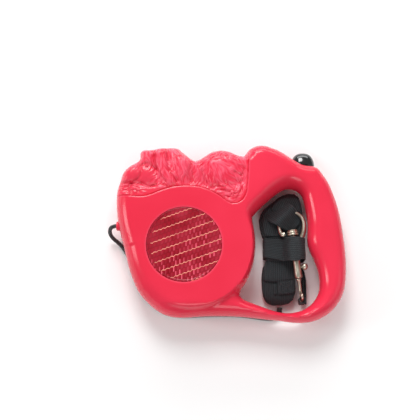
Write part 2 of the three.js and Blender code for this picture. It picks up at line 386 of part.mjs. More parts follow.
const leash = new THREE.Group();
function put(name, shape, material, group = leash) {
  const mesh = new THREE.Mesh(shape.isBufferGeometry ? shape : geometryOf(shape), material);
  mesh.name = name;
  group.add(mesh);
  return mesh;
}

const casing = new THREE.Group();
put("front_shell", shell(1), RED, casing);
put("back_shell", shell(-1), RED, casing);
put("front_reflector", reflector(1), LENS, casing);
put("rear_reflector", reflector(-1), LENS, casing);
put("leash_nozzle", nozzle, RED, casing);
SCREWS.forEach(([x, y], i) => put("case_screw_" + (i + 1), screw(x, y), STEEL, casing));

const reel = new THREE.Group();
put("reel_drum", drum, NATURAL, reel);
put("ratchet_cap", reelCap, NATURAL, reel);
put("leash_winding", winding, WEBBING, reel);
put("reel_axle", axle, STEEL, casing);
put("mainspring", mainspring, STEEL, casing);

const brake = new THREE.Group();
put("brake_button", button, BLACK, brake);
put("button_carrier", plunger, BLACK_PLASTIC, brake);
put("brake_lever", lever, NATURAL, brake);
put("lever_pin", leverPin, STEEL, brake);
put("return_spring", returnSpring, STEEL, brake);

const line = new THREE.Group();
put("leash_run", run, WEBBING, line);
put("leash_cord", cord, WEBBING, line);
put("webbing_hank", hank, WEBBING, line);
put("wrap_band", band, WEBBING, line);

const snap = new THREE.Group();
put("snap_body", snapBody, ZINC, snap);
put("snap_bolt", snapBolt, ZINC, snap);
put("bolt_spring", boltSpring, STEEL, snap);
put("swivel_eye", eye, ZINC, snap);
put("strap_loop", strapLoop, WEBBING, snap);
snap.position.set(...SNAP);
snap.rotation.z = (SNAP_TILT * Math.PI) / 180;
line.add(snap);

leash.add(casing, reel, brake, line);
export default leash;
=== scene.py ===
import math

import bmesh
import bpy
import numpy as np
from mathutils import Matrix, Vector
from mathutils.geometry import delaunay_2d_cdt


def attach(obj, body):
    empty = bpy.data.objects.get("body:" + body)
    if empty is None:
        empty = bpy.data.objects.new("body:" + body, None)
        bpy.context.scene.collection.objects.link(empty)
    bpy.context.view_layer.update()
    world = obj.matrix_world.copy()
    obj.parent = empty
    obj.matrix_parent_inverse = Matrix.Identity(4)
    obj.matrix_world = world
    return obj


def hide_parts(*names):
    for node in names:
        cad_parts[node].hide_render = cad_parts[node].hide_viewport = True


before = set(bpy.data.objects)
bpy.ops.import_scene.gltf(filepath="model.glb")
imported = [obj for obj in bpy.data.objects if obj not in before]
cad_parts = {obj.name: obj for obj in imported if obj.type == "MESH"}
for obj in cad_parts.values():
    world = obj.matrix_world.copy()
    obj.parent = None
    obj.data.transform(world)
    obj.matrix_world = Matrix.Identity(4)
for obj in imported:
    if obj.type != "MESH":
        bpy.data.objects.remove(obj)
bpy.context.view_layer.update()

# ------------------------------------------------------------------ sizes, in millimetres
ZM, PLATE_H, HANDLE_H, LIP = 18.0, 18.0, 14.0, 1.6
REEL = (-34.0, -11.5)
DISC, DISC_R = (-31.0, -11.5), 48.9
REFLECTOR, REFLECTOR_R = (-36.4, -11.5), 29.2
NOZZLE_Y = 6.0
SNAP, TILT = (48.7, 7.6, 17.2), math.radians(6.6)
SCREWS = [(-36, -61.2), (7, -59), (75.5, -51.5), (74.6, 31.6), (30, 62.4), (-76, 46)]
OUTLINE = [[15.0, 67.5], [21.1, 70.6], [27.6, 71.0], [32.5, 69.6], [38.5, 67.3], [44.5, 63.9], [48.5, 61.2], [52.5, 58.7], [56.5, 56.3], [60.5, 55.0], [67.0, 54.2], [71.0, 52.0], [74.1, 47.8], [77.6, 42.4], [80.3, 37.0], [83.2, 28.8], [85.6, 20.6], [87.5, 11.6], [89.0, 1.0], [90.3, -10.2], [90.9, -21.5], [90.7, -31.8], [89.8, -41.3], [88.3, -47.2], [85.9, -52.7], [81.4, -59.0], [76.0, -64.0], [69.9, -67.6], [62.4, -70.2], [53.8, -71.0], [46.0, -70.5], [38.3, -69.4], [25.8, -68.1], [14.9, -66.8], [5.6, -66.0], [-8.5, -65.7], [-23.3, -65.9], [-35.8, -66.8], [-43.6, -66.6], [-51.4, -64.8], [-58.4, -60.9], [-63.2, -57.0], [-68.7, -51.5], [-72.8, -46.0], [-76.8, -37.4], [-80.2, -27.8], [-82.5, -19.1], [-84.9, -9.4], [-87.2, -1.4], [-89.1, 6.7], [-90.3, 14.9], [-90.9, 23.0], [-90.8, 31.3], [-89.8, 36.2], [-88.3, 40.8], [-87.1, 45.3], [-85.3, 49.1], [-82.5, 52.4], [-78.5, 55.3], [-74.5, 57.6], [-72.7, 59.9], [-72.4, 65.0], [-70.6, 66.8], [-65.0, 67.5], [-58.5, 68.1], [-52.0, 68.9], [-46.3, 69.3], [-41.8, 68.5], [-37.9, 65.2], [-33.7, 61.6], [-28.6, 58.4], [-24.4, 59.7], [-20.3, 62.4], [-14.9, 65.8], [-8.1, 67.3], [-0.9, 66.2], [5.2, 63.5], [10.1, 62.2], [12.5, 64.1]]
OPENING = [[17.5, 10.2], [17.7, 13.2], [20.0, 16.4], [23.2, 19.9], [26.4, 23.0], [30.5, 26.7], [34.5, 30.2], [38.3, 33.2], [42.2, 35.5], [46.2, 36.8], [51.4, 36.1], [55.7, 33.4], [58.1, 29.6], [59.4, 24.0], [60.4, 18.3], [61.3, 12.6], [61.7, 6.9], [61.4, 1.3], [61.1, -4.3], [61.6, -10.0], [63.4, -15.6], [65.9, -21.1], [68.3, -27.7], [69.8, -36.2], [69.7, -43.5], [67.6, -50.3], [63.6, -55.8], [58.0, -60.1], [51.4, -62.6], [44.3, -63.4], [37.4, -62.7], [30.4, -60.7], [23.4, -58.2], [16.4, -55.5], [9.6, -52.5], [7.2, -49.3], [8.0, -45.4], [10.6, -41.3], [13.6, -36.4], [16.3, -30.1], [18.3, -23.4], [19.4, -15.6], [19.7, -7.6], [19.1, 0.5], [18.1, 6.1]]
PLATE_LINE = [[-96, 28.2], [-91.6, 28.0], [-88.4, 27.7], [-82.9, 27.5], [-77.4, 27.2], [-70.4, 26.8], [-64.1, 28.0], [-57.9, 30.5], [-50.8, 33.1], [-46.1, 34.3], [-40.6, 35.1], [-33.6, 35.4], [-28.1, 35.1], [-22.5, 34.0], [-16.3, 31.6], [-9.6, 28.0], [-3.7, 23.5], [-1.0, 21.9], [2.1, 21.2], [6.0, 21.9], [8.8, 23.7], [10.8, 26.4], [12.5, 30.8], [13.2, 37.0], [13.9, 45.1], [14.4, 54.2], [14.8, 64.2], [15.0, 74]]
POCKET_LEVER = [[-21, 43], [-12, 41.5], [-8, 30], [-14, 27], [-6, 8], [6, 14], [6.5, 32.2], [15.5, 32.2], [16, 42.2], [30, 41.8], [44, 41.0], [48, 40.8], [58.2, 40.8], [58.2, 55], [48, 54.6], [-16, 56.6], [-21, 52]]
SLOT = [[48.3, 46.2], [48.3, 72], [71.4, 72], [71.4, 36.5], [58.2, 36.5], [58.2, 46.2]]
CORD_R = 1.6
CORD = [[-83.4, 6, 18], [-88, 6, 18], [-92, 6, 17.9], [-95.2, 5.0, 16.4], [-96.6, 2.9, 13.2], [-96.2, 0.3, 9.4], [-94.0, -2.4, 5.6], [-90.2, -5.4, 3.0], [-86.4, -9.5, 1.9], [-83.0, -15, 1.7], [-80.2, -22.5, 1.7], [-77.8, -30, 1.7], [-74.4, -38.6, 1.7], [-70.2, -46.2, 1.7], [-65.2, -52.0, 1.7], [-59.2, -57.2, 1.7], [-52.5, -61.2, 1.7], [-44.5, -63.6, 1.7], [-36, -64.1, 1.7], [-24, -63.5, 1.7], [-8, -63.2, 1.7], [6, -63.5, 1.7], [18, -64.8, 1.7], [28, -66.2, 1.7], [34.0, -66.2, 1.8], [37.6, -63.8, 2.2], [39.2, -60.4, 2.7], [39.6, -57.4, 3.1]]

scene = bpy.context.scene
rng = np.random.RandomState(11)


# ------------------------------------------------------------------ camera, floor, light
def make_camera():
    data = bpy.data.cameras.new("camera")
    data.sensor_width = 36
    data.lens = 75
    data.clip_start, data.clip_end = 0.01, 20
    cam = bpy.data.objects.new("camera", data)
    scene.collection.objects.link(cam)
    th = math.radians(12)
    right, up, back = Vector((1, 0, 0)), Vector((0, math.cos(th), math.sin(th))), Vector((0, -math.sin(th), math.cos(th)))
    m = Matrix((right, up, back)).transposed().to_4x4()
    m.translation = Vector((-0.0162638, 0.0189383, 0.019)) + back * 0.7
    cam.matrix_world = m
    scene.camera = cam


make_camera()


# ------------------------------------------------------------------ helpers
def link(obj):
    scene.collection.objects.link(obj)
    return obj


def mesh_object(name, verts, faces, body=None, material=None, sharp=35.0, uv=None):
    """verts in millimetres."""
    me = bpy.data.meshes.new(name)
    me.from_pydata((np.asarray(verts, float) * 0.001).tolist(), [], [list(map(int, f)) for f in faces])
    me.update()
    if uv is not None:
        layer = me.uv_layers.new(name="UVMap")
        loops = np.empty(len(me.loops), np.int32)
        me.loops.foreach_get("vertex_index", loops)
        layer.data.foreach_set("uv", np.asarray(uv, np.float32)[loops].ravel())
    me.polygons.foreach_set("use_smooth", [True] * len(me.polygons))
    if sharp is not None:
        me.set_sharp_from_angle(angle=math.radians(sharp))
    obj = link(bpy.data.objects.new(name, me))
    if material is not None:
        me.materials.append(material)
    if body is not None:
        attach(obj, body)
    return obj


def catmull(points, closed=False, per=24):
    P = [np.array(p, float) for p in points]
    n = len(P)
    out = []
    for i in range(n if closed else n - 1):
        p1, p2 = P[i], P[(i + 1) % n]
        p0 = P[(i - 1) % n] if closed or i > 0 else 2 * p1 - p2
        p3 = P[(i + 2) % n] if closed or i + 2 < n else 2 * p2 - p1
        d0, d1, d2 = (max(np.linalg.norm(b - a) ** 0.5, 1e-4) for a, b in ((p0, p1), (p1, p2), (p2, p3)))
        t1 = ((p1 - p0) / d0 - (p2 - p0) / (d0 + d1) + (p2 - p1) / d1) * d1
        t2 = ((p2 - p1) / d1 - (p3 - p1) / (d1 + d2) + (p3 - p2) / d2) * d1
        for k in range(per):
            t = k / per
            out.append(p1 + t1 * t + (-3 * p1 + 3 * p2 - 2 * t1 - t2) * t * t + (2 * p1 - 2 * p2 + t1 + t2) * t**3)
    if not closed:
        out.append(P[-1])
    return np.array(out)


def resample(curve, step=None, closed=False, count=None):
    c = np.vstack([curve, curve[:1]]) if closed else curve
    s = np.r_[0, np.cumsum(np.linalg.norm(np.diff(c, axis=0), axis=1))]
    n = count or max(2, int(round(s[-1] / step)))
    t = np.linspace(0, s[-1], n + 1)
    if closed:
        t = t[:-1]
    return np.stack([np.interp(t, s, c[:, k]) for k in range(c.shape[1])], 1)


def seg_distance(px, py, poly, closed=True, chunk=4000):
    A = np.asarray(poly, float)
    B = np.roll(A, -1, axis=0) if closed else A[1:]
    if not closed:
        A = A[:-1]
    d = B - A
    L = (d**2).sum(1) + 1e-12
    best = np.empty(len(px))
    for i in range(0, len(px), chunk):
        x, y = px[i : i + chunk, None], py[i : i + chunk, None]
        t = np.clip(((x - A[:, 0]) * d[:, 0] + (y - A[:, 1]) * d[:, 1]) / L, 0, 1)
        best[i : i + chunk] = np.sqrt(((x - A[:, 0] - t * d[:, 0]) ** 2 + (y - A[:, 1] - t * d[:, 1]) ** 2).min(1))
    return best


def inside(px, py, poly, chunk=4000):
    A = np.asarray(poly, float)
    B = np.roll(A, 1, axis=0)
    out = np.zeros(len(px), bool)
    for i in range(0, len(px), chunk):
        x, y = px[i : i + chunk, None], py[i : i + chunk, None]
        cross = (A[:, 1] > y) != (B[:, 1] > y)
        with np.errstate(divide="ignore", invalid="ignore"):
            hit = x < (B[:, 0] - A[:, 0]) * (y - A[:, 1]) / (B[:, 1] - A[:, 1]) + A[:, 0]
        out[i : i + chunk] = (cross & hit).sum(1) % 2 == 1
    return out


def smooth(a, b, x):
    t = np.clip((x - a) / (b - a), 0, 1)
    return t * t * (3 - 2 * t)


def cdt(points, epsilon=1e-5):
    r = delaunay_2d_cdt([Vector(p) for p in points], [], [], 0, epsilon)
    v = np.array([list(p) for p in r[0]])
    return v, np.array([list(f) for f in r[2]], int)


def lathe(profile, axis_point, axis="z", segments=64, start=0.0):
    """profile [(r, h)]; a closed ring if it starts and ends on the axis or on itself."""
    prof = [tuple(p) for p in profile]
    ring = prof[0] == prof[-1] and prof[0][0] > 1e-9
    if ring:
        prof = prof[:-1]
    verts, rows = [], []
    for r, h in prof:
        if r < 1e-9:
            rows.append([len(verts)] * segments)
            verts.append((0, 0, h))
        else:
            rows.append(list(range(len(verts), len(verts) + segments)))
            for k in range(segments):
                a = start + 2 * math.pi * k / segments
                verts.append((r * math.cos(a), r * math.sin(a), h))
    faces = []
    count = len(rows) if ring else len(rows) - 1
    for i in range(count):
        a, b = rows[i], rows[(i + 1) % len(rows)]
        for k in range(segments):
            k2 = (k + 1) % segments
            f = [a[k], a[k2], b[k2], b[k]]
            g = [x for j, x in enumerate(f) if x not in f[:j]]
            if len(g) > 2:
                faces.append(g)
    V = np.array(verts, float)
    if axis == "y":
        V = np.stack([V[:, 0], V[:, 2], -V[:, 1]], 1)
    elif axis == "x":
        V = np.stack([V[:, 2], V[:, 0], V[:, 1]], 1)
    return V + np.array(axis_point, float), faces


def recalc(obj):
    bm = bmesh.new()
    bm.from_mesh(obj.data)
    bmesh.ops.remove_doubles(bm, verts=bm.verts, dist=1e-7)
    bmesh.ops.recalc_face_normals(bm, faces=bm.faces)
    bm.to_mesh(obj.data)
    bm.free()
    return obj


def sweep(path, radius, sides=16, cap=True, up=(0, 0, 1), squash_to=None):
    """Tube along a path, mm. radius is a number or one for each point. squash_to is not used."""
    P = np.asarray(path, float)
    n = len(P)
    R = np.full(n, radius) if np.isscalar(radius) else np.asarray(radius, float)
    T = np.gradient(P, axis=0)
    T /= np.linalg.norm(T, axis=1)[:, None]
    N = np.zeros_like(P)
    u = np.cross(T[0], up)
    if np.linalg.norm(u) < 1e-6:
        u = np.cross(T[0], (1, 0, 0))
    N[0] = u / np.linalg.norm(u)
    for i in range(1, n):
        v = N[i - 1] - T[i] * (N[i - 1] @ T[i])
        N[i] = v / np.linalg.norm(v)
    Bn = np.cross(T, N)
    a = np.linspace(0, 2 * np.pi, sides, endpoint=False)
    V = (P[:, None, :] + R[:, None, None] * (np.cos(a)[None, :, None] * N[:, None, :] + np.sin(a)[None, :, None] * Bn[:, None, :])).reshape(-1, 3)
    s = np.r_[0, np.cumsum(np.linalg.norm(np.diff(P, axis=0), axis=1))]
    uv = np.stack([np.tile(a / (2 * np.pi), n), np.repeat(s, sides)], 1)
    F = []
    for i in range(n - 1):
        for k in range(sides):
            k2 = (k + 1) % sides
            F.append([i * sides + k, i * sides + k2, (i + 1) * sides + k2, (i + 1) * sides + k])
    if cap:
        F.append(list(range(sides))[::-1])
        F.append([(n - 1) * sides + k for k in range(sides)])
    return V, F, uv


def boolean(obj, cutters, operation="DIFFERENCE"):
    coll = bpy.data.collections.new("cut")
    scene.collection.children.link(coll)
    for c in cutters:
        for k in list(c.users_collection):
            k.objects.unlink(c)
        coll.objects.link(c)
    m = obj.modifiers.new("cut", "BOOLEAN")
    m.operation, m.operand_type, m.collection, m.solver = operation, "COLLECTION", coll, "EXACT"
    dg = bpy.context.evaluated_depsgraph_get()
    me = bpy.data.meshes.new_from_object(obj.evaluated_get(dg), preserve_all_data_layers=True, depsgraph=dg)
    obj.modifiers.clear()
    old = obj.data
    obj.data = me
    me.name = obj.name
    bpy.data.meshes.remove(old)
    for c in cutters:
        bpy.data.objects.remove(c)
    bpy.data.collections.remove(coll)
    return obj


def tidy(obj, dist=3e-6):
    """Drop the slivers and stray bits that a boolean leaves."""
    bm = bmesh.new()
    bm.from_mesh(obj.data)
    bmesh.ops.remove_doubles(bm, verts=bm.verts, dist=dist)
    bmesh.ops.dissolve_degenerate(bm, edges=bm.edges, dist=dist)
    bmesh.ops.triangulate(bm, faces=[f for f in bm.faces if len(f.verts) > 4])
    bmesh.ops.dissolve_degenerate(bm, edges=bm.edges, dist=dist)
    bm.faces.ensure_lookup_table()
    seen, stray = set(), []
    for f in bm.faces:
        if f.index in seen:
            continue
        island, todo = [], [f]
        seen.add(f.index)
        while todo:
            g = todo.pop()
            island.append(g)
            for e in g.edges:
                for h in e.link_faces:
                    if h.index not in seen:
                        seen.add(h.index)
                        todo.append(h)
        if len(island) < 12:
            stray += island
    if stray:
        bmesh.ops.delete(bm, geom=stray, context="FACES")
    bm.to_mesh(obj.data)
    bm.free()
    return obj


def rounded(poly, r, n=5):
    """Polygon with its corners rounded."""
    P = np.asarray(poly, float)
    out = []
    for i in range(len(P)):
        a, b, c = P[i - 1], P[i], P[(i + 1) % len(P)]
        u, v = (a - b) / np.linalg.norm(a - b), (c - b) / np.linalg.norm(c - b)
        ang = math.acos(np.clip(u @ v, -1, 1))
        t = min(r / math.tan(ang / 2), 0.45 * np.linalg.norm(a - b), 0.45 * np.linalg.norm(c - b))
        p, q = b + u * t, b + v * t
        for k in range(n + 1):
            s = k / n
            out.append((1 - s) ** 2 * p + 2 * s * (1 - s) * b + s * s * q)
    return np.array(out)


def prism(name, poly, z0, z1):
    P = np.asarray(poly, float)
    n = len(P)
    V = np.vstack([np.c_[P, np.full(n, z0)], np.c_[P, np.full(n, z1)]])
    F = [list(range(n)), [n + k for k in range(n)][::-1]] + [[k, (k + 1) % n, n + (k + 1) % n, n + k] for k in range(n)]
    return recalc(mesh_object(name, V, F, sharp=None))


def turned(name, profile, at, axis="z", segments=64, **kw):
    V, F = lathe(profile, at, axis, segments)
    return recalc(mesh_object(name, V, F, sharp=None, **kw))


# ------------------------------------------------------------------ materials
def material(name, color, roughness=0.4, metallic=0.0, coat=0.0, spec=0.5, sheen=0.0, coat_rough=0.05):
    m = bpy.data.materials.new(name)
    m.use_nodes = True
    b = m.node_tree.nodes["Principled BSDF"]
    b.inputs["Base Color"].default_value = (*color, 1)
    b.inputs["Roughness"].default_value = roughness
    b.inputs["Metallic"].default_value = metallic
    b.inputs["Coat Weight"].default_value = coat
    b.inputs["Coat Roughness"].default_value = coat_rough
    b.inputs["Specular IOR Level"].default_value = spec
    b.inputs["Sheen Weight"].default_value = sheen
    return m


class Nodes:
    """Short calls for building a node tree."""

    def __init__(self, m):
        self.t = m.node_tree
        self.b = self.t.nodes["Principled BSDF"]

    def new(self, kind, **values):
        n = self.t.nodes.new(kind)
        for k, v in values.items():
            if hasattr(n, k) and k not in n.inputs:
                setattr(n, k, v)
            else:
                n.inputs[k].default_value = v
        return n

    def link(self, a, b):
        self.t.links.new(a, b)

    def coords(self, kind="Object"):
        return self.t.nodes.new("ShaderNodeTexCoord").outputs[kind]

    def mapping(self, vector, scale=(1, 1, 1), rotation=(0, 0, 0), location=(0, 0, 0)):
        n = self.t.nodes.new("ShaderNodeMapping")
        n.inputs["Scale"].default_value, n.inputs["Rotation"].default_value, n.inputs["Location"].default_value = scale, rotation, location
        self.link(vector, n.inputs["Vector"])
        return n.outputs["Vector"]

    def noise(self, vector, scale, detail=3.0, rough=0.5, dist=0.0):
        n = self.t.nodes.new("ShaderNodeTexNoise")
        n.inputs["Scale"].default_value, n.inputs["Detail"].default_value, n.inputs["Roughness"].default_value, n.inputs["Distortion"].default_value = scale, detail, rough, dist
        self.link(vector, n.inputs["Vector"])
        return n.outputs["Fac"]

    def math(self, op, a, b=None, clamp=False):
        n = self.t.nodes.new("ShaderNodeMath")
        n.operation, n.use_clamp = op, clamp
        for i, v in enumerate((a, b)):
            if v is None:
                continue
            if isinstance(v, (int, float)):
                n.inputs[i].default_value = v
            else:
                self.link(v, n.inputs[i])
        return n.outputs[0]

    def ramp(self, fac, stops):
        n = self.t.nodes.new("ShaderNodeValToRGB")
        r = n.color_ramp
        while len(r.elements) < len(stops):
            r.elements.new(0.5)
        for e, (p, c) in zip(r.elements, stops):
            e.position, e.color = p, (*c, 1) if len(c) == 3 else c
        self.link(fac, n.inputs["Fac"])
        return n.outputs["Color"]

    def maprange(self, v, a, b, c, d, smoothstep=False):
        n = self.t.nodes.new("ShaderNodeMapRange")
        if smoothstep:
            n.interpolation_type = "SMOOTHSTEP"
        self.link(v, n.inputs["Value"])
        for k, x in zip(("From Min", "From Max", "To Min", "To Max"), (a, b, c, d)):
            n.inputs[k].default_value = x
        return n.outputs["Result"]

    def mix(self, fac, a, b, mode="MIX"):
        n = self.t.nodes.new("ShaderNodeMix")
        n.data_type, n.blend_type = "RGBA", mode
        for key, v in (("Factor", fac), ("A", a), ("B", b)):
            sock = [s for s in n.inputs if s.name == key and (s.type == "RGBA" or key == "Factor" and s.type == "VALUE")][0]
            if isinstance(v, (int, float)):
                sock.default_value = v
            elif isinstance(v, tuple):
                sock.default_value = (*v, 1)
            else:
                self.link(v, sock)
        return [o for o in n.outputs if o.type == "RGBA"][0]

    def bump(self, height, distance, strength=1.0, normal=None):
        n = self.t.nodes.new("ShaderNodeBump")
        n.inputs["Distance"].default_value, n.inputs["Strength"].default_value = distance, strength
        self.link(height, n.inputs["Height"])
        if normal is not None:
            self.link(normal, n.inputs["Normal"])
        return n.outputs["Normal"]

    def attribute(self, name):
        n = self.t.nodes.new("ShaderNodeAttribute")
        n.attribute_name = name
        return n.outputs["Fac"]


def red_plastic():
    m = material("casing_red_plastic", (0.87, 0.03, 0.075), 0.25, spec=0.36)
    n = Nodes(m)
    obj = n.coords()
    large = n.noise(obj, 14, 2)
    col = n.mix(n.maprange(large, 0.35, 0.65, 0, 1), (0.76, 0.024, 0.058), (0.82, 0.031, 0.073))
    # painted shade: darker red in the dog's creases, in the fur valleys and in the gutter under the plate edge
    crease_shade = n.attribute("painted_crease_shade")
    col = n.mix(n.maprange(crease_shade, 0.0, 1.0, 0.0, 0.7), col, (0.46, 0.005, 0.020))
    # painted highlight: paler pink on the dog's fur crests, along the plate's edge and around the lens rim
    coat = n.attribute("coat")
    col = n.mix(n.math("MULTIPLY", coat, 0.85), col, (0.86, 0.115, 0.19))
    n.link(col, n.b.inputs["Base Color"])
    fine = n.noise(obj, 900, 2)
    n.link(n.math("ADD", n.maprange(n.noise(obj, 60, 3), 0.3, 0.7, 0.16, 0.22), n.math("MULTIPLY", coat, 0.16)), n.b.inputs["Roughness"])
    n.link(n.bump(fine, 0.00006, 0.35), n.b.inputs["Normal"])
    n.b.inputs["Subsurface Weight"].default_value = 0.0
    return m


def steel(name="steel_bright", color=(0.62, 0.62, 0.64), rough=0.28):
    m = material(name, color, rough, 1.0)
    n = Nodes(m)
    obj = n.coords()
    n.link(n.maprange(n.noise(obj, 700, 3), 0.3, 0.7, rough * 0.75, rough * 1.4), n.b.inputs["Roughness"])
    n.link(n.bump(n.noise(obj, 1800, 2), 0.00002, 0.3), n.b.inputs["Normal"])
    return m


def cast_metal():
    m = material("snap_cast_metal", (0.62, 0.52, 0.44), 0.26, 1.0)
    n = Nodes(m)
    obj = n.coords()
    n.link(n.mix(n.maprange(n.noise(obj, 180, 3), 0.35, 0.65, 0, 1), (0.47, 0.41, 0.33), (0.61, 0.56, 0.46)), n.b.inputs["Base Color"])
    n.link(n.maprange(n.noise(obj, 320, 4), 0.3, 0.7, 0.26, 0.44), n.b.inputs["Roughness"])
    n.link(n.bump(n.noise(obj, 420, 4), 0.00012, 0.35), n.b.inputs["Normal"])
    return m


def plain_plastic(name, color, rough=0.45):
    m = material(name, color, rough)
    n = Nodes(m)
    obj = n.coords()
    n.link(n.mix(n.maprange(n.noise(obj, 40, 3), 0.3, 0.7, 0, 1), tuple(c * 0.9 for c in color), color), n.b.inputs["Base Color"])
    n.link(n.bump(n.noise(obj, 1200, 2), 0.00004, 0.3), n.b.inputs["Normal"])
    return m


def black_gloss():
    m = material("button_gloss_black", (0.010, 0.010, 0.011), 0.12, coat=0.6, coat_rough=0.04)
    n = Nodes(m)
    obj = n.coords()
    n.link(n.maprange(n.noise(obj, 260, 4), 0.35, 0.7, 0.08, 0.22), n.b.inputs["Roughness"])
    n.link(n.bump(n.noise(obj, 90, 2), 0.0002, 0.06), n.b.inputs["Normal"])
    return m


def webbing(name="black_webbing", pitch=1.5, color=(0.0036, 0.0062, 0.0076)):
    """Woven nylon: UV in millimetres, u across the strap and v along it."""
    m = material(name, color, 0.62, sheen=0.08, spec=0.3)
    n = Nodes(m)
    n.b.inputs["Sheen Roughness"].default_value = 0.45
    uv = n.coords("UV")
    s = n.t.nodes.new("ShaderNodeSeparateXYZ")
    n.link(uv, s.inputs[0])
    u, v = s.outputs[0], s.outputs[1]
    # warp cords along the strap, chevrons across it
    warp = n.math("ABSOLUTE", n.math("SINE", n.math("MULTIPLY", u, math.pi / pitch)))
    shift = n.math("MULTIPLY", n.math("ABSOLUTE", n.math("SUBTRACT", n.math("FRACT", n.math("DIVIDE", u, 4 * pitch)), 0.5)), 8 * pitch * 0.9)
    weft = n.math("ABSOLUTE", n.math("SINE", n.math("MULTIPLY", n.math("ADD", v, shift), math.pi / (pitch * 1.1))))
    h = n.math("MULTIPLY", n.math("POWER", warp, 0.5), n.math("ADD", n.math("MULTIPLY", weft, 0.6), 0.4))
    fuzz = n.noise(n.coords(), 2600, 2)
    h2 = n.math("ADD", h, n.math("MULTIPLY", fuzz, 0.35))
    n.link(n.bump(h2, 0.00035, 1.0), n.b.inputs["Normal"])
    var = n.maprange(n.noise(n.coords(), 55, 3), 0.35, 0.7, 0, 1)
    base = n.mix(var, tuple(c * 0.6 for c in color), tuple(c * 2.0 for c in color))
    # painted sheen: the weave's raised crests painted paler, its valleys darker
    n.link(n.mix(n.math("MULTIPLY", n.math("POWER", h, 2.6), 0.95), base, (0.052, 0.062, 0.068)), n.b.inputs["Base Color"])
    n.link(n.maprange(h, 0, 1, 0.75, 0.5), n.b.inputs["Roughness"])
    return m


def braided():
    m = material("black_braided_cord", (0.012, 0.012, 0.013), 0.6, sheen=0.3)
    n = Nodes(m)
    s = n.t.nodes.new("ShaderNodeSeparateXYZ")
    n.link(n.coords("UV"), s.inputs[0])
    a = n.math("MULTIPLY", s.outputs[0], 16 * math.pi / 2)
    b = n.math("MULTIPLY", s.outputs[1], 1.9)
    h = n.math("MAXIMUM", n.math("SINE", n.math("ADD", a, b)), n.math("SINE", n.math("SUBTRACT", a, b)))
    n.link(n.bump(h, 0.0003, 0.8), n.b.inputs["Normal"])
    # painted sheen: the braid's raised strands painted paler, its grooves darker
    n.link(n.mix(n.maprange(h, 0, 1, 0, 0.7), (0.006, 0.006, 0.007), (0.035, 0.036, 0.04)), n.b.inputs["Base Color"])
    return m


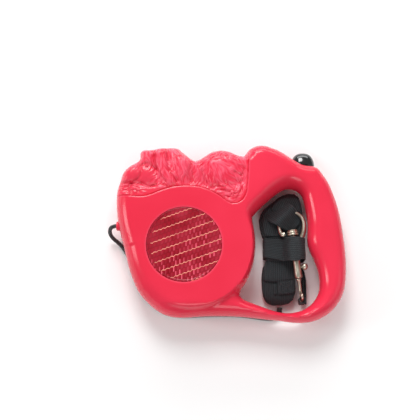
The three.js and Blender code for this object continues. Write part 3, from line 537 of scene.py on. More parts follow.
def reflector_material():
    m = material("reflector_red_prism", (0.30, 0.012, 0.03), 0.3, spec=0.22)
    n = Nodes(m)
    s = n.t.nodes.new("ShaderNodeSeparateXYZ")
    n.link(n.coords("UV"), s.inputs[0])
    x, y = s.outputs[0], s.outputs[1]
    STEP, RISE, PITCH = 3.3, 1.21, 8.2
    t = n.math("DIVIDE", x, STEP)
    fr = n.math("FRACT", t)
    stair = n.math("MULTIPLY", n.math("ADD", n.math("FLOOR", t), n.maprange(fr, 0.62, 1.0, 0, 1)), RISE)
    yy = n.math("ADD", n.math("SUBTRACT", y, stair), 1.92)
    q = n.math("FRACT", n.math("DIVIDE", yy, PITCH))
    d = n.math("ABSOLUTE", n.math("SUBTRACT", q, 0.5))
    # painted glint: a thin bright line along each stepped row
    line = n.math("SUBTRACT", 1.0, n.maprange(d, 0.022, 0.046, 0, 1, True))
    broken = n.maprange(n.noise(n.coords(), 200, 2), 0.3, 0.55, 0.45, 1.0)
    # the lines stop short of the lens's left side
    rr = n.math("SQRT", n.math("ADD", n.math("POWER", n.math("SUBTRACT", x, 3.2), 2.0), n.math("POWER", n.math("ADD", y, 0.5), 2.0)))
    line = n.math("MULTIPLY", line, n.math("MULTIPLY", broken, n.maprange(rr, 28.6, 29.6, 1.0, 0.0)))
    row = n.math("FLOOR", n.math("DIVIDE", yy, PITCH / 2))
    cx = n.math("FRACT", n.math("ADD", n.math("DIVIDE", x, 3.1), n.math("MULTIPLY", row, 0.5)))
    cy = n.math("FRACT", n.math("DIVIDE", yy, PITCH / 2))
    dx, dy = n.math("ABSOLUTE", n.math("SUBTRACT", cx, 0.5)), n.math("ABSOLUTE", n.math("SUBTRACT", cy, 0.5))
    # painted glint: a short bright dash in each cell
    glint_dash = n.math("MULTIPLY", n.maprange(dx, 0.055, 0.14, 1, 0, True), n.maprange(dy, 0.34, 0.46, 1, 0, True))
    cell = n.t.nodes.new("ShaderNodeCombineXYZ")
    n.link(n.math("FLOOR", n.math("ADD", n.math("DIVIDE", x, 3.1), n.math("MULTIPLY", row, 0.5))), cell.inputs[0])
    n.link(row, cell.inputs[1])
    white = n.t.nodes.new("ShaderNodeTexWhiteNoise")
    white.noise_dimensions = "2D"
    n.link(cell.outputs[0], white.inputs["Vector"])
    lot = white.outputs["Value"]
    # the painted glint dashes are kept mostly to the lens's lower right
    where = n.maprange(n.math("SUBTRACT", n.math("MULTIPLY", x, 0.8), n.math("MULTIPLY", y, 0.9)), -16, 10, 0, 1)
    glint_dash = n.math("MULTIPLY", glint_dash, n.math("MULTIPLY", where, n.maprange(lot, 0.42, 0.85, 0.08, 1.0)))
    patch = n.maprange(n.noise(n.coords(), 55, 3), 0.35, 0.68, 0, 1)
    base = n.mix(n.math("ADD", n.math("MULTIPLY", patch, 0.8), n.math("MULTIPLY", lot, 0.2)), (0.22, 0.001, 0.008), (0.40, 0.022, 0.045))
    # each cell is a facetted prism: one flank painted lighter as a painted highlight, its border painted dark as
    # painted shade
    flank = n.maprange(n.math("ADD", n.math("SUBTRACT", cx, 0.5), n.math("SUBTRACT", cy, 0.5)), -0.6, 0.6, 0, 1)
    base = n.mix(n.math("MULTIPLY", flank, 0.4), base, (0.50, 0.009, 0.028))
    edge = n.maprange(n.math("MAXIMUM", dx, dy), 0.40, 0.5, 0, 1)
    base = n.mix(n.math("MULTIPLY", edge, 0.45), base, (0.16, 0.0, 0.004))
    # painted glints mixed over the lens colour
    col = n.mix(glint_dash, base, (1.0, 0.14, 0.22))
    col = n.mix(line, col, (1.0, 0.35, 0.25))
    n.link(col, n.b.inputs["Base Color"])
    h = n.math("ADD", n.math("MAXIMUM", dx, dy), n.math("MULTIPLY", line, 0.5))
    n.link(n.bump(h, 0.0004, 0.35), n.b.inputs["Normal"])
    return m


RED = red_plastic()
LENS = reflector_material()
STEEL = steel()
METAL = cast_metal()
GLOSS = black_gloss()
SATIN = plain_plastic("carrier_satin_black", (0.02, 0.02, 0.021), 0.4)
ACETAL = plain_plastic("reel_natural_acetal", (0.62, 0.60, 0.53), 0.42)
WEB = webbing()
CORDM = braided()


# ------------------------------------------------------------------ casing: outer form
outer = resample(catmull(OUTLINE, True), 1.15, True)
hole = resample(catmull(OPENING, True), 1.0, True)
plate = resample(catmull(PLATE_LINE), 0.8)


def signed_area(p):
    q = np.roll(p, -1, axis=0)
    return 0.5 * (p[:, 0] * q[:, 1] - q[:, 0] * p[:, 1]).sum()


if signed_area(outer) < 0:
    outer = outer[::-1]
if signed_area(hole) > 0:
    hole = hole[::-1]
dog_region = np.vstack([plate, [[15, 90], [-110, 90], [-110, 28]]])


def fine_points():
    rows = []

    def offset(poly, d, closed=True):
        a, b = (np.roll(poly, 1, 0), np.roll(poly, -1, 0)) if closed else (np.vstack([poly[:1], poly[:-1]]), np.vstack([poly[1:], poly[-1:]]))
        t = b - a
        t /= np.linalg.norm(t, axis=1)[:, None]
        return poly + d * np.stack([-t[:, 1], t[:, 0]], 1)

    for d in (0.1, 0.3, 0.6, 1.05, 1.65, 2.4, 3.3, 4.4, 5.7, 7.2, 8.9, 10.8, 12.8):
        for poly in (outer, hole):
            p = offset(poly, d)
            e = np.minimum(seg_distance(p[:, 0], p[:, 1], outer), seg_distance(p[:, 0], p[:, 1], hole))
            ok = (e > d * 0.93) & (inside(p[:, 0], p[:, 1], outer)) & ~inside(p[:, 0], p[:, 1], hole)
            rows.append((p[ok], 0.42 * min(1.0, 0.35 + d)))
    line = []
    for d in (0.08, -0.08, 0.5, -0.5, 1.0, -1.0, 1.6, -1.6):
        line.append(offset(plate, d, False))
    rings = []
    for r in np.arange(DISC_R - 3.0, DISC_R + 4.1, 0.7):
        a = np.arange(-135, 40, 1.3)
        rings.append(np.stack([DISC[0] + r * np.cos(np.radians(a)), DISC[1] + r * np.sin(np.radians(a))], 1))
    for r in (REFLECTOR_R + 0.5, REFLECTOR_R + 1.2, REFLECTOR_R + 2.0, REFLECTOR_R + 3.0):
        a = np.arange(0, 360, 2.5)
        rings.append(np.stack([REFLECTOR[0] + r * np.cos(np.radians(a)), REFLECTOR[1] + r * np.sin(np.radians(a))], 1))
    g = 0.46
    X, Y = np.meshgrid(np.arange(-91, 16, g), np.arange(20, 70, g))
    X = X + (np.round(Y / g) % 2) * g / 2
    fur = np.stack([X.ravel(), Y.ravel()], 1)
    fur = fur[inside(fur[:, 0], fur[:, 1], dog_region)]
    g = 2.0
    X, Y = np.meshgrid(np.arange(-91, 91, g), np.arange(-71, 71, g))
    X = X + (np.round(Y / g) % 2) * g / 2
    rest = np.stack([X.ravel(), Y.ravel()], 1)
    rest = rest[~inside(rest[:, 0], rest[:, 1], dog_region)]
    groups = rows + [(p, 0.3) for p in line] + [(p, 0.55) for p in rings] + [(fur, 0.3), (rest, 1.0)]
    kept = [outer, hole]
    grid = {}
    cell = 1.0

    def near(x, y, gap):
        cx, cy = int(math.floor(x / cell)), int(math.floor(y / cell))
        k = int(math.ceil(gap / cell))
        for i in range(cx - k, cx + k + 1):
            for j in range(cy - k, cy + k + 1):
                for a, b in grid.get((i, j), ()):
                    if (a - x) ** 2 + (b - y) ** 2 < gap * gap:
                        return True
        return False

    for p in (outer, hole):
        for x, y in p:
            grid.setdefault((int(math.floor(x)), int(math.floor(y))), []).append((x, y))
    for p, gap in groups:
        ok = inside(p[:, 0], p[:, 1], outer) & ~inside(p[:, 0], p[:, 1], hole)
        p = p[ok]
        e = np.minimum(seg_distance(p[:, 0], p[:, 1], outer), seg_distance(p[:, 0], p[:, 1], hole))
        p = p[e > 0.07]
        out = []
        for x, y in p:
            if near(x, y, gap):
                continue
            grid.setdefault((int(math.floor(x)), int(math.floor(y))), []).append((x, y))
            out.append((x, y))
        if out:
            kept.append(np.array(out))
    return np.vstack(kept)


PTS, TRI = cdt(fine_points())
cx, cy = PTS[TRI].mean(1)[:, 0], PTS[TRI].mean(1)[:, 1]
TRI = TRI[inside(cx, cy, outer) & ~inside(cx, cy, hole)]
px, py = PTS[:, 0], PTS[:, 1]
EDGE_O, EDGE_H = seg_distance(px, py, outer), seg_distance(px, py, hole)
EDGE = np.minimum(EDGE_O, EDGE_H)
IN_DOG = inside(px, py, dog_region)
PLATE_D = seg_distance(px, py, plate, False)


# ---- the lying dog
def fur_field():
    """Line integral convolution of seeded noise along the coat's direction: two scales of strands."""
    g = 0.25
    xs, ys = np.arange(-95, 20, g), np.arange(16, 74, g)
    X, Y = np.meshgrid(xs, ys)
    flow = [(-66, 62, 78), (-60, 60, 95), (-54, 62, 96), (-54.5, 52, 104), (-50, 44, 128), (-46, 38, 140), (-44, 46, 118), (-47, 58, 100), (-60, 42, 50), (-64, 37, 45), (-56, 40, 62), (-56, 34, 165), (-66, 32, 10), (-74, 33, 15), (-84, 33, 8),
            (-40, 62, 118), (-38, 52, 104), (-40, 42, 92), (-35, 38, 80), (-30, 55, 66), (-27, 46, 78), (-25, 38, 60), (-20, 58, 52), (-20, 47, 78), (-18, 38, 100), (-12, 62, 24), (-4, 64, 5), (-8, 56, 165), (0, 56, 150), (-11, 47, 100), (-8, 39, 118), (0, 44, 138), (6, 52, 140), (4, 38, 150), (9, 38, 70), (10, 30, 66), (4, 25, 20), (-2, 28, 160), (-8, 31, 10), (-13, 34, 30), (11, 58, 110)]
    F = np.array(flow, float)
    w = 1.0 / (((X[..., None] - F[:, 0]) ** 2 + (Y[..., None] - F[:, 1]) ** 2) + 6.0) ** 1.6
    c2, s2 = (w * np.cos(2 * np.radians(F[:, 2]))).sum(-1), (w * np.sin(2 * np.radians(F[:, 2]))).sum(-1)
    wob = np.zeros_like(X)
    for k in range(5):
        a, b, ph = rng.uniform(-0.35, 0.35, 3)
        wob += np.sin(X * a * 2.2 + Y * b * 2.2 + ph * 9)
    ang = 0.5 * np.arctan2(s2, c2) + 0.16 * wob
    U, V = np.cos(ang), np.sin(ang)

    def blur(a, s):
        n = int(3 * s) + 1
        k = np.exp(-0.5 * (np.arange(-n, n + 1) / s) ** 2)
        k /= k.sum()
        a = np.apply_along_axis(lambda r: np.convolve(np.pad(r, n, "wrap"), k, "valid"), 0, a)
        return np.apply_along_axis(lambda r: np.convolve(np.pad(r, n, "wrap"), k, "valid"), 1, a)

    def sample(a, x, y):
        i, j = np.clip((x - xs[0]) / g, 0, len(xs) - 1.001), np.clip((y - ys[0]) / g, 0, len(ys) - 1.001)
        i0, j0 = i.astype(int), j.astype(int)
        fi, fj = i - i0, j - j0
        return (a[j0, i0] * (1 - fi) + a[j0, i0 + 1] * fi) * (1 - fj) + (a[j0 + 1, i0] * (1 - fi) + a[j0 + 1, i0 + 1] * fi) * fj

    def lic(noise, length):
        acc, n = noise.copy(), 1.0
        for sgn in (1, -1):
            x, y, pu, pv = X.copy(), Y.copy(), U * sgn, V * sgn
            for k in range(int(length / g)):
                u, v = sample(U, x, y), sample(V, x, y)
                flip = np.where(u * pu + v * pv < 0, -1.0, 1.0)
                pu, pv = u * flip, v * flip
                x, y = x + pu * g, y + pv * g
                wgt = 1 - k / (length / g)
                acc += wgt * sample(noise, x, y)
                n += wgt
        acc /= n
        return (acc - acc.mean()) / acc.std()

    fine = lic(blur(rng.randn(*X.shape), 1.1), 2.8)
    tuft = lic(blur(rng.randn(*X.shape), 4.2), 7.0)
    return lambda x, y: (sample(fine, x, y), sample(tuft, x, y))


def blob(x, y, cx, cy, a, b, turn, base, top, p=2.0):
    c, s = math.cos(math.radians(turn)), math.sin(math.radians(turn))
    u, v = ((x - cx) * c + (y - cy) * s) / a, (-(x - cx) * s + (y - cy) * c) / b
    q = (np.abs(u) ** p + np.abs(v) ** p) ** (2 / p)
    return np.where(q < 1, base + (top - base) * np.sqrt(np.clip(1 - q, 0, 1)), base - 5 * (np.sqrt(np.maximum(q, 1)) - 1) * min(a, b) * 0.5)


def path_blob(x, y, pts, r0, r1, base, top):
    """A rounded ridge along a path, its half-width going from r0 to r1."""
    c = resample(catmull(pts), 0.8)
    out = np.full(len(x), -99.0)
    for i, p in enumerate(c):
        r = r0 + (r1 - r0) * i / (len(c) - 1)
        q = ((x - p[0]) ** 2 + (y - p[1]) ** 2) / r**2
        out = np.maximum(out, np.where(q < 1, base + (top - base) * np.sqrt(np.clip(1 - q, 0, 1)), base - 2.5 * r * (np.sqrt(np.maximum(q, 1)) - 1)))
    return out


DOG = [(-78.8, 45.6, 9.2, 8.6, 24, 12.6, 17.0, 2.2), (-66.5, 46.0, 8.6, 10.0, 8, 12.6, 16.7, 2.2), (-64.5, 58.5, 10.5, 9.8, 4, 12.4, 16.5, 2.8), (-58.5, 41.0, 7.0, 9.5, 0, 12.2, 15.7, 2.0),
       (-40.0, 51.5, 11.5, 18.0, -12, 12.4, 17.5, 2.2), (-45, 40, 9, 8, 0, 12.2, 16.0, 2.0), (-26.5, 48.0, 8.5, 12.5, 0, 12.2, 15.9, 2.2), (-7.0, 49.5, 20.0, 16.5, 0, 12.4, 18.2, 2.3), (8.0, 53.5, 7.5, 10.0, 10, 12.2, 16.0, 2.2),
       (4.6, 30.5, 7.2, 9.5, -28, 12.2, 16.2, 2.0), (-7.0, 30.2, 9.5, 4.6, -14, 12.0, 15.6, 2.2)]
RIDGES = [([(-87.5, 31.8), (-82, 32.6), (-77, 33.6)], 4.0, 4.8, 11.8, 14.8), ([(-50, 37.0), (-60, 33.0), (-70, 32.3), (-74.5, 33.0)], 4.6, 5.2, 11.8, 15.6),
          ([(-55.5, 65), (-54.2, 56), (-52.0, 48), (-48.2, 41.8)], 5.2, 7.0, 13.5, 18.4), ([(-6.5, 35), (0.2, 32.4), (3.0, 27.4)], 2.6, 3.4, 13.4, 16.6)]
CREASES = [([(-72.9, 54.4), (-72.2, 50.9), (-71.1, 46.3), (-72.1, 42.7), (-75.5, 39.7), (-78.2, 37.9)], 0.75, 1.5), ([(-78.2, 37.9), (-82.5, 38.3), (-86.5, 39.2)], 0.8, 1.3),
           ([(-73.5, 52.2), (-72.2, 51.4), (-68.8, 53.2), (-65.8, 53.9), (-61.3, 50.9), (-58.5, 49.2)], 0.85, 1.5), ([(-70.4, 38.3), (-67.5, 36.4), (-64.6, 35.3), (-59, 36.4)], 0.8, 1.5),
           ([(-59.4, 66), (-60.2, 59), (-59.6, 53), (-57.4, 47.4), (-54.4, 42.6), (-51.0, 38.6)], 0.9, 1.9), ([(-49.6, 55.4), (-49.3, 50), (-47.4, 45.5), (-44.6, 42), (-42.2, 39)], 0.9, 1.5),
           ([(-51.5, 64.5), (-50.4, 58.5), (-49.6, 55.4)], 0.9, 1.0), ([(-40.6, 65.5), (-35.6, 58.8), (-31.8, 53.4), (-33.0, 44.7), (-31.2, 36.8)], 1.0, 1.6), ([(-30.6, 55), (-30.5, 46), (-28.6, 38)], 0.8, 0.9),
           ([(-19, 62.5), (-22.5, 55), (-22.6, 46.5), (-19, 38.5), (-14.5, 34.6)], 1.1, 1.2), ([(3.6, 46.2), (6.2, 44.6), (8.6, 44.0), (10.4, 46.1), (11.2, 50.5)], 0.85, 1.8),
           ([(-15.6, 32.9), (-13.4, 34.6), (-11.0, 35.3), (-7.4, 34.8)], 0.6, 1.3), ([(-10.8, 31.4), (-7.4, 32.2), (-3.6, 31.6), (-0.6, 30.2), (0.6, 28.2), (-0.8, 26.9), (-3.6, 27.4), (-5.0, 25.4)], 0.55, 1.5),
           ([(-7.4, 34.8), (-2.0, 34.9), (2.6, 32.4), (3.4, 29.2), (1.9, 26.8)], 0.6, 1.4), ([(7.9, 38.6), (8.6, 34.2), (7.4, 29.6), (4.6, 25.4)], 0.65, 1.1),
           ([(-79.2, 38.2), (-79.9, 33.4), (-78.2, 29.0)], 0.75, 1.5), ([(-78.4, 35.6), (-75.0, 35.0), (-72.6, 33.8)], 0.5, 0.9), ([(-78.6, 32.0), (-75.0, 31.8), (-72.4, 31.0)], 0.5, 0.9), ([(-89.5, 34.7), (-84.4, 35.2), (-81.6, 34.9)], 0.55, 1.2), ([(-89.8, 31.8), (-85.0, 32.1), (-81.6, 31.9)], 0.55, 1.2), ([(-79.5, 38.0), (-72, 37.6), (-70.4, 38.3)], 0.6, 0.8)]


def dog_height(x, y, fine, tuft):
    hs = [blob(x, y, *b[:7], p=b[7]) for b in DOG] + [path_blob(x, y, *r) for r in RIDGES]
    hs.append(np.full(len(x), 13.6))
    k = 1.15
    H = np.stack(hs)
    top = H.max(0)
    h = top + np.log(np.exp(k * (H - top)).sum(0)) / k - 0.25
    # where the coat is smooth: muzzle, cheek, toes
    calm = np.maximum.reduce([np.exp(-(((x + 79.5) / 8.5) ** 2 + ((y - 45) / 8.5) ** 2) ** 2), 0.97 * np.exp(-(((x + 67.2) / 7.4) ** 2 + ((y - 44.5) / 8.6) ** 2) ** 2), 0.8 * np.exp(-(((x + 79) / 12) ** 2 + ((y - 32) / 5) ** 2) ** 2), 0.75 * np.exp(-(((x + 62) / 8) ** 2 + ((y - 32) / 3.2) ** 2) ** 2)])
    hair = (1 - calm) * (0.18 * fine + 0.12 * tuft) + 0.02 * fine
    # painted shade along each crease and in the valleys between fur strands
    crease_shade = np.zeros(len(x))
    for pts, w, depth in CREASES:
        d = seg_distance(x, y, resample(catmull(pts), 0.5), False)
        gr = np.exp(-((d / (1.25 * w)) ** 2))
        h = h - 0.62 * depth * gr
        crease_shade = np.maximum(crease_shade, 0.45 * gr)
    # the eye: a small bead in its socket
    r = np.hypot(x + 66.2, y - 51.9)
    h = h - 1.0 * np.exp(-((r / 2.2) ** 2)) + np.where(r < 1.25, 1.5 * np.sqrt(np.clip(1 - (r / 1.25) ** 2, 0, 1)), 0)
    crease_shade = np.clip(crease_shade + (1 - calm) * np.clip(-(0.6 * fine + 0.2 * tuft) - 0.2, 0, 1) * 0.17, 0, 1)
    # painted sheen: the raised fur strands painted paler and pinker, a little even where the coat is smooth
    crest = np.clip((1 - calm) * (0.40 + 0.27 * fine + 0.10 * tuft), 0, 1) + 0.15 * calm
    return h + hair, crease_shade, np.clip(crest * (1 - 0.8 * crease_shade), 0, 1)


def level(x, y):
    rd = np.hypot(x - DISC[0], y - DISC[1]) - DISC_R
    phi = np.degrees(np.arctan2(y - DISC[1], x - DISC[0]))
    sector = smooth(-125, -95, phi) * (1 - smooth(14, 30, phi))
    step = (PLATE_H - HANDLE_H) * sector * smooth(-1.2, 1.6, rd)
    low = np.where(phi < 0, 1.5 * (1 - smooth(-125, -95, phi)) * smooth(-10, 8, rd), 0)
    shoulder = np.where(y > 6, (PLATE_H - HANDLE_H) * smooth(24, 66, x), 0)
    return PLATE_H - np.maximum.reduce([step, low, shoulder])


def round_width(x, y):
    # tight along the disc's side of the opening, full everywhere else
    tight = (1 - smooth(19, 33, x)) * smooth(-24, -12, x) * smooth(-2.0, 3.0, EDGE_O - EDGE_H) * smooth(-54, -40, y)
    full = 9 + 3.5 * smooth(0, -50, x)
    w = full + (3.5 + 5 * smooth(2, 20, y) - full) * tight
    return np.where(IN_DOG, 6.5, w)


sampler = fur_field()
FINE, TUFT = sampler(px, py)
dog_h, dog_crease_shade, dog_highlight = dog_height(px, py, FINE, TUFT)
lev = level(px, py)
# the plate's rounded edge above the dog, and a narrow gutter below it
edge_round = np.where(PLATE_D < 1.2, 1.2 - np.sqrt(np.clip(1.44 - (1.2 - PLATE_D) ** 2, 0, None)), 0)
gutter = np.exp(-((PLATE_D / 0.8) ** 2))
dog_h = 17.75 - np.log1p(np.exp(2.2 * (17.75 - dog_h))) / 2.2 if False else np.where(dog_h > 16.6, 16.6 + 1.15 * np.tanh((dog_h - 16.6) / 1.15), dog_h)
near_plate = np.exp(-((PLATE_D / 3.2) ** 2))
top_h = np.where(IN_DOG, dog_h + (np.minimum(np.maximum(dog_h, 15.9), 16.6) - dog_h) * 0.75 * near_plate - 0.55 * gutter, lev - edge_round)
# painted shade in the creases, fur valleys and the gutter below the plate edge
CREASE_SHADE = np.where(IN_DOG, np.clip(np.maximum(dog_crease_shade, 0.5 * gutter), 0, 1), 0.0)
# painted highlight: the plate's rounded edge is painted paler, a thin highlight line along it
PAINTED_HIGHLIGHT = np.where(IN_DOG, dog_highlight * (1 - 0.7 * gutter), 0.55 * np.exp(-(((PLATE_D - 0.55) / 0.45) ** 2)))
LENS_R = np.hypot(px - REFLECTOR[0], py - REFLECTOR[1]) - REFLECTOR_R
top_h = top_h - np.where(IN_DOG, 0, 0.22 * (1 - smooth(0.3, 1.15, LENS_R)))
# painted highlight: a paler ring just outside the lens
PAINTED_HIGHLIGHT = np.maximum(PAINTED_HIGHLIGHT, np.where(IN_DOG, 0, 0.5 * np.exp(-(((LENS_R - 0.7) / 0.5) ** 2))))
w = round_width(px, py)
t = np.clip(EDGE / w, 0, 1)
HEIGHT = LIP + (top_h - LIP) * np.sqrt(np.clip(1 - (1 - t) ** 2, 0, 1))


def casing_half(name, side):
    n = len(PTS)
    z = ZM + side * HEIGHT
    V = [np.c_[PTS, z]]
    F = (TRI if side > 0 else TRI[:, ::-1]).tolist()
    # boundary vertices, in order
    index = {}
    for i, (x, y) in enumerate(np.round(PTS, 4)):
        index[(x, y)] = i

    def find(loop):
        out = []
        for x, y in np.round(loop, 4):
            k = index.get((x, y))
            if k is None:
                k = int(np.argmin((px - x) ** 2 + (py - y) ** 2))
            out.append(k)
        return out

    lo, lh = find(outer), find(hole)
    base = np.vstack([outer, hole])
    V.append(np.c_[base, np.full(len(base), ZM + side * 0.15)])
    for loop, start in ((lo, n), (lh, n + len(outer))):
        m = len(loop)
        for i in range(m):
            a, b = loop[i], loop[(i + 1) % m]
            c, d = start + i, start + (i + 1) % m
            F.append([c, d, b, a] if side > 0 else [a, b, d, c])
    v2, f2 = cdt(base)
    ctr = v2[f2].mean(1)
    f2 = f2[inside(ctr[:, 0], ctr[:, 1], outer) & ~inside(ctr[:, 0], ctr[:, 1], hole)]
    remap = [n + int(np.argmin((base[:, 0] - x) ** 2 + (base[:, 1] - y) ** 2)) for x, y in v2]
    for f in f2:
        g = [remap[k] for k in f]
        F.append(g[::-1] if side > 0 else g)
    obj = mesh_object(name, np.vstack(V), F, sharp=None)
    # the vertex masks of painted shade and painted highlight that the red material reads
    at = obj.data.attributes.new("painted_crease_shade", "FLOAT", "POINT")
    at.data.foreach_set("value", np.r_[CREASE_SHADE, np.zeros(len(base))].astype(np.float32))
    at = obj.data.attributes.new("coat", "FLOAT", "POINT")
    at.data.foreach_set("value", np.r_[PAINTED_HIGHLIGHT, np.zeros(len(base))].astype(np.float32))
    return obj


def cutters(side):
    zz = lambda h: ZM + side * h
    out = []

    def pr(poly, h0, h1):
        out.append(prism("cutter", poly, min(zz(h0), zz(h1)), max(zz(h0), zz(h1))))

    def cyl(r, x, y, h0, h1, seg=96):
        pr([(x + r * math.cos(2 * math.pi * k / seg), y + r * math.sin(2 * math.pi * k / seg)) for k in range(seg)], h0, h1)

    cyl(45.2, *REEL, -1, 11.2)
    cyl(39.5, *REEL, 11, 13.4)
    # above the slot the front pocket stops short of the rounded corner, so the wall there stays closed
    pr(POCKET_LEVER[:12] + [[58.2, 40.8], [58.2, 50.7], [52.0, 54.75]] + POCKET_LEVER[14:] if side > 0 else POCKET_LEVER, -1, 11.4 if side > 0 else 5)
    pr(rounded(SLOT, 0.9, 4), -1, 7.5)
    cyl(REFLECTOR_R + 0.3, *REFLECTOR, 15.7, 19.5, 128)
    for r, x0, x1, seg in ((4.1, -80.5, -95, 48), (5.4, -82.6, -85.8, 48)):
        out.append(turned("cutter", [(0, x0), (r, x0), (r, x1), (0, x1)], (0, NOZZLE_Y, ZM), "x", seg))
    V, F, _ = sweep([(-66, 16.3, ZM), (-75, 11.0, ZM), (-84.5, 5.4, ZM)], 2.3, 24)
    out.append(recalc(mesh_object("cutter", V, F, sharp=None)))
    if side < 0:
        for x, y in SCREWS:
            out.append(turned("cutter", [(0, -1), (3.1, -1), (3.1, 10), (1.65, 10), (1.65, 20), (0, 20)], (x, y, 0), "z", 40))
    return out


def casing(name, side, node):
    obj = casing_half(name, side)
    for c in cutters(side):
        boolean(obj, [c])
    tidy(obj)
    me = obj.data
    me.materials.clear()
    me.materials.append(RED)
    me.polygons.foreach_set("use_smooth", [True] * len(me.polygons))
    me.set_sharp_from_angle(angle=math.radians(50))
    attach(obj, "casing")
    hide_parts(node)
    return obj


front = casing("front_half", 1, "front_shell")
back = casing("back_half", -1, "back_shell")


# ------------------------------------------------------------------ reflectors
def reflector(name, side, node):
    z0, z1 = (33.95, 35.7) if side > 0 else (2.05, 0.3)
    R = REFLECTOR_R + 0.22
    prof = [(0, z0), (R, z0), (R, z1 - side * 0.5), (R - 0.15, z1 - side * 0.2), (R - 0.5, z1), (R - 1.4, z1), (R - 1.7, z1 - side * 0.25), (R - 2.0, z1 - side * 0.25)] + [(r, z1 - side * (0.25 - 0.2 * (1 - (r / R) ** 2))) for r in np.linspace(R - 4, 2, 9)] + [(0, z1 - side * 0.05)]
    V, F = lathe(prof, (*REFLECTOR, 0), "z", 128)
    uv = np.c_[(V[:, 0] - REFLECTOR[0]) * (1 if side > 0 else -1), V[:, 1] - REFLECTOR[1]]
    obj = mesh_object(name, V, F, material=LENS, sharp=None, uv=uv)
    recalc(obj)
    obj.data.polygons.foreach_set("use_smooth", [True] * len(obj.data.polygons))
    obj.data.set_sharp_from_angle(angle=math.radians(40))
    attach(obj, "casing")
    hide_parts(node)
    return obj


reflector("front_lens", 1, "front_reflector")
reflector("rear_lens", -1, "rear_reflector")


# ------------------------------------------------------------------ nozzle, screws, inner parts
def finish_piece(obj, body, mat, node=None, sharp=35):
    tidy(obj)
    obj.data.materials.clear()
    obj.data.materials.append(mat)
    obj.data.polygons.foreach_set("use_smooth", [True] * len(obj.data.polygons))
    obj.data.set_sharp_from_angle(angle=math.radians(sharp))
    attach(obj, body)
    if node:
        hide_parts(*([node] if isinstance(node, str) else node))
    return obj


finish_piece(turned("nozzle_ring", [(2.1, -83.0), (4.9, -83.0), (4.9, -85.4), (3.7, -85.4), (3.7, -90.0), (3.6, -90.4), (3.3, -90.75), (2.95, -90.9), (2.6, -90.85), (2.3, -90.6), (2.1, -90.2), (2.1, -83.0)], (0, NOZZLE_Y, ZM), "x", 64), "casing", RED, "leash_nozzle")

for i, (x, y) in enumerate(SCREWS):
    head = turned("screw_%d" % (i + 1), [(0, 7.35), (1.6, 7.25), (2.3, 7.45), (2.6, 7.9), (2.6, 9.6), (1.35, 9.7), (1.35, 25.2), (0, 25.9)], (x, y, 0), "z", 40)
    a = 0.35
    cross = prism("cross", [(x - 1.6, y - a), (x - a, y - a), (x - a, y - 1.6), (x + a, y - 1.6), (x + a, y - a), (x + 1.6, y - a), (x + 1.6, y + a), (x + a, y + a), (x + a, y + 1.6), (x - a, y + 1.6), (x - a, y + a), (x - 1.6, y + a)], 6, 8.6)
    cross.data.transform(Matrix.Translation(Vector((x, y, 0)) * 0.001) @ Matrix.Rotation(0.5 * i + 0.3, 4, "Z") @ Matrix.Translation(Vector((-x, -y, 0)) * 0.001))
    boolean(head, [cross])
    finish_piece(head, "casing", STEEL, "case_screw_%d" % (i + 1))

for node, mat in (("reel_axle", STEEL), ("mainspring", STEEL), ("lever_pin", STEEL), ("return_spring", STEEL), ("bolt_spring", STEEL), ("reel_drum", ACETAL), ("ratchet_cap", ACETAL), ("brake_lever", ACETAL), ("leash_winding", CORDM), ("leash_run", CORDM)):
    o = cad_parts[node]
    for s in o.material_slots:
        s.material = mat


def carrier():
    o = prism("button_slide", [(50.4, 52.4), (66.2, 52.4), (66.2, 54.6), (50.4, 54.6)], 11.4, 24.6)
    boolean(o, [prism("cutter", [(50.4, 51.8), (55.8, 51.8), (52.2, 54.2), (50.4, 54.2)], 20, 28.2)], "UNION")
    boolean(o, [prism("cutter", [(60.7, 43), (63.7, 43), (63.7, 53), (60.7, 53)], 16.4, 19.6)], "UNION")
    return finish_piece(o, "carrier", SATIN, "button_carrier")


carrier()


# ------------------------------------------------------------------ thumb button
def button():
    rows, seg = 26, 72
    V, F = [], []
    cx, cy, cz = 58.6, 54.9, 18.0
    ax, ay, az = 9.35, 10.9, 7.1
    prof = [(0.0, 0.0), (0.965, 0.0), (0.99, 0.012), (1.0, 0.03)]
    for k in range(1, rows):
        a = math.pi / 2 * k / rows
        prof.append((math.cos(a) ** 0.78, math.sin(a) ** 0.94))
    prof.append((0.0, 1.0))
    for r, h in prof:
        for k in range(seg):
            a = 2 * math.pi * k / seg
            c, s = math.cos(a), math.sin(a)
            e = 2.25  # a little squarer than an ellipse
            rr = (abs(c) ** e + abs(s) ** e) ** (-1 / e)
            V.append((cx + ax * r * rr * c, cy + ay * h, cz + az * r * rr * s))
    for i in range(len(prof) - 1):
        for k in range(seg):
            k2 = (k + 1) % seg
            F.append([i * seg + k, i * seg + k2, (i + 1) * seg + k2, (i + 1) * seg + k])
    o = mesh_object("thumb_button", V, F, sharp=None)
    bm = bmesh.new()
    bm.from_mesh(o.data)
    bmesh.ops.remove_doubles(bm, verts=bm.verts, dist=1e-6)
    bmesh.ops.recalc_face_normals(bm, faces=bm.faces)
    bm.to_mesh(o.data)
    bm.free()
    return finish_piece(o, "button", GLOSS, "brake_button", 40)


button()


# ------------------------------------------------------------------ leash cord
path = resample(catmull(CORD), 0.5)
V, F, uv = sweep(path, CORD_R, 16)
cord_obj = mesh_object("cord", V, F, body="casing", material=CORDM, sharp=60, uv=uv)
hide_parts("leash_cord")

# crimped sleeve where the cord meets the strap
end, before = path[-1], path[-8]
d = (end - before) / np.linalg.norm(end - before)
sl = [end - d * 6.5 + d * k for k in np.linspace(0, 6.5, 9)]
V, F, uv = sweep(sl, [1.75, 2.15, 2.2, 2.05, 2.2, 2.05, 2.2, 2.15, 1.8], 20)
sleeve = finish_piece(recalc(mesh_object("cord_sleeve", V, F, sharp=None)), "casing", SATIN)


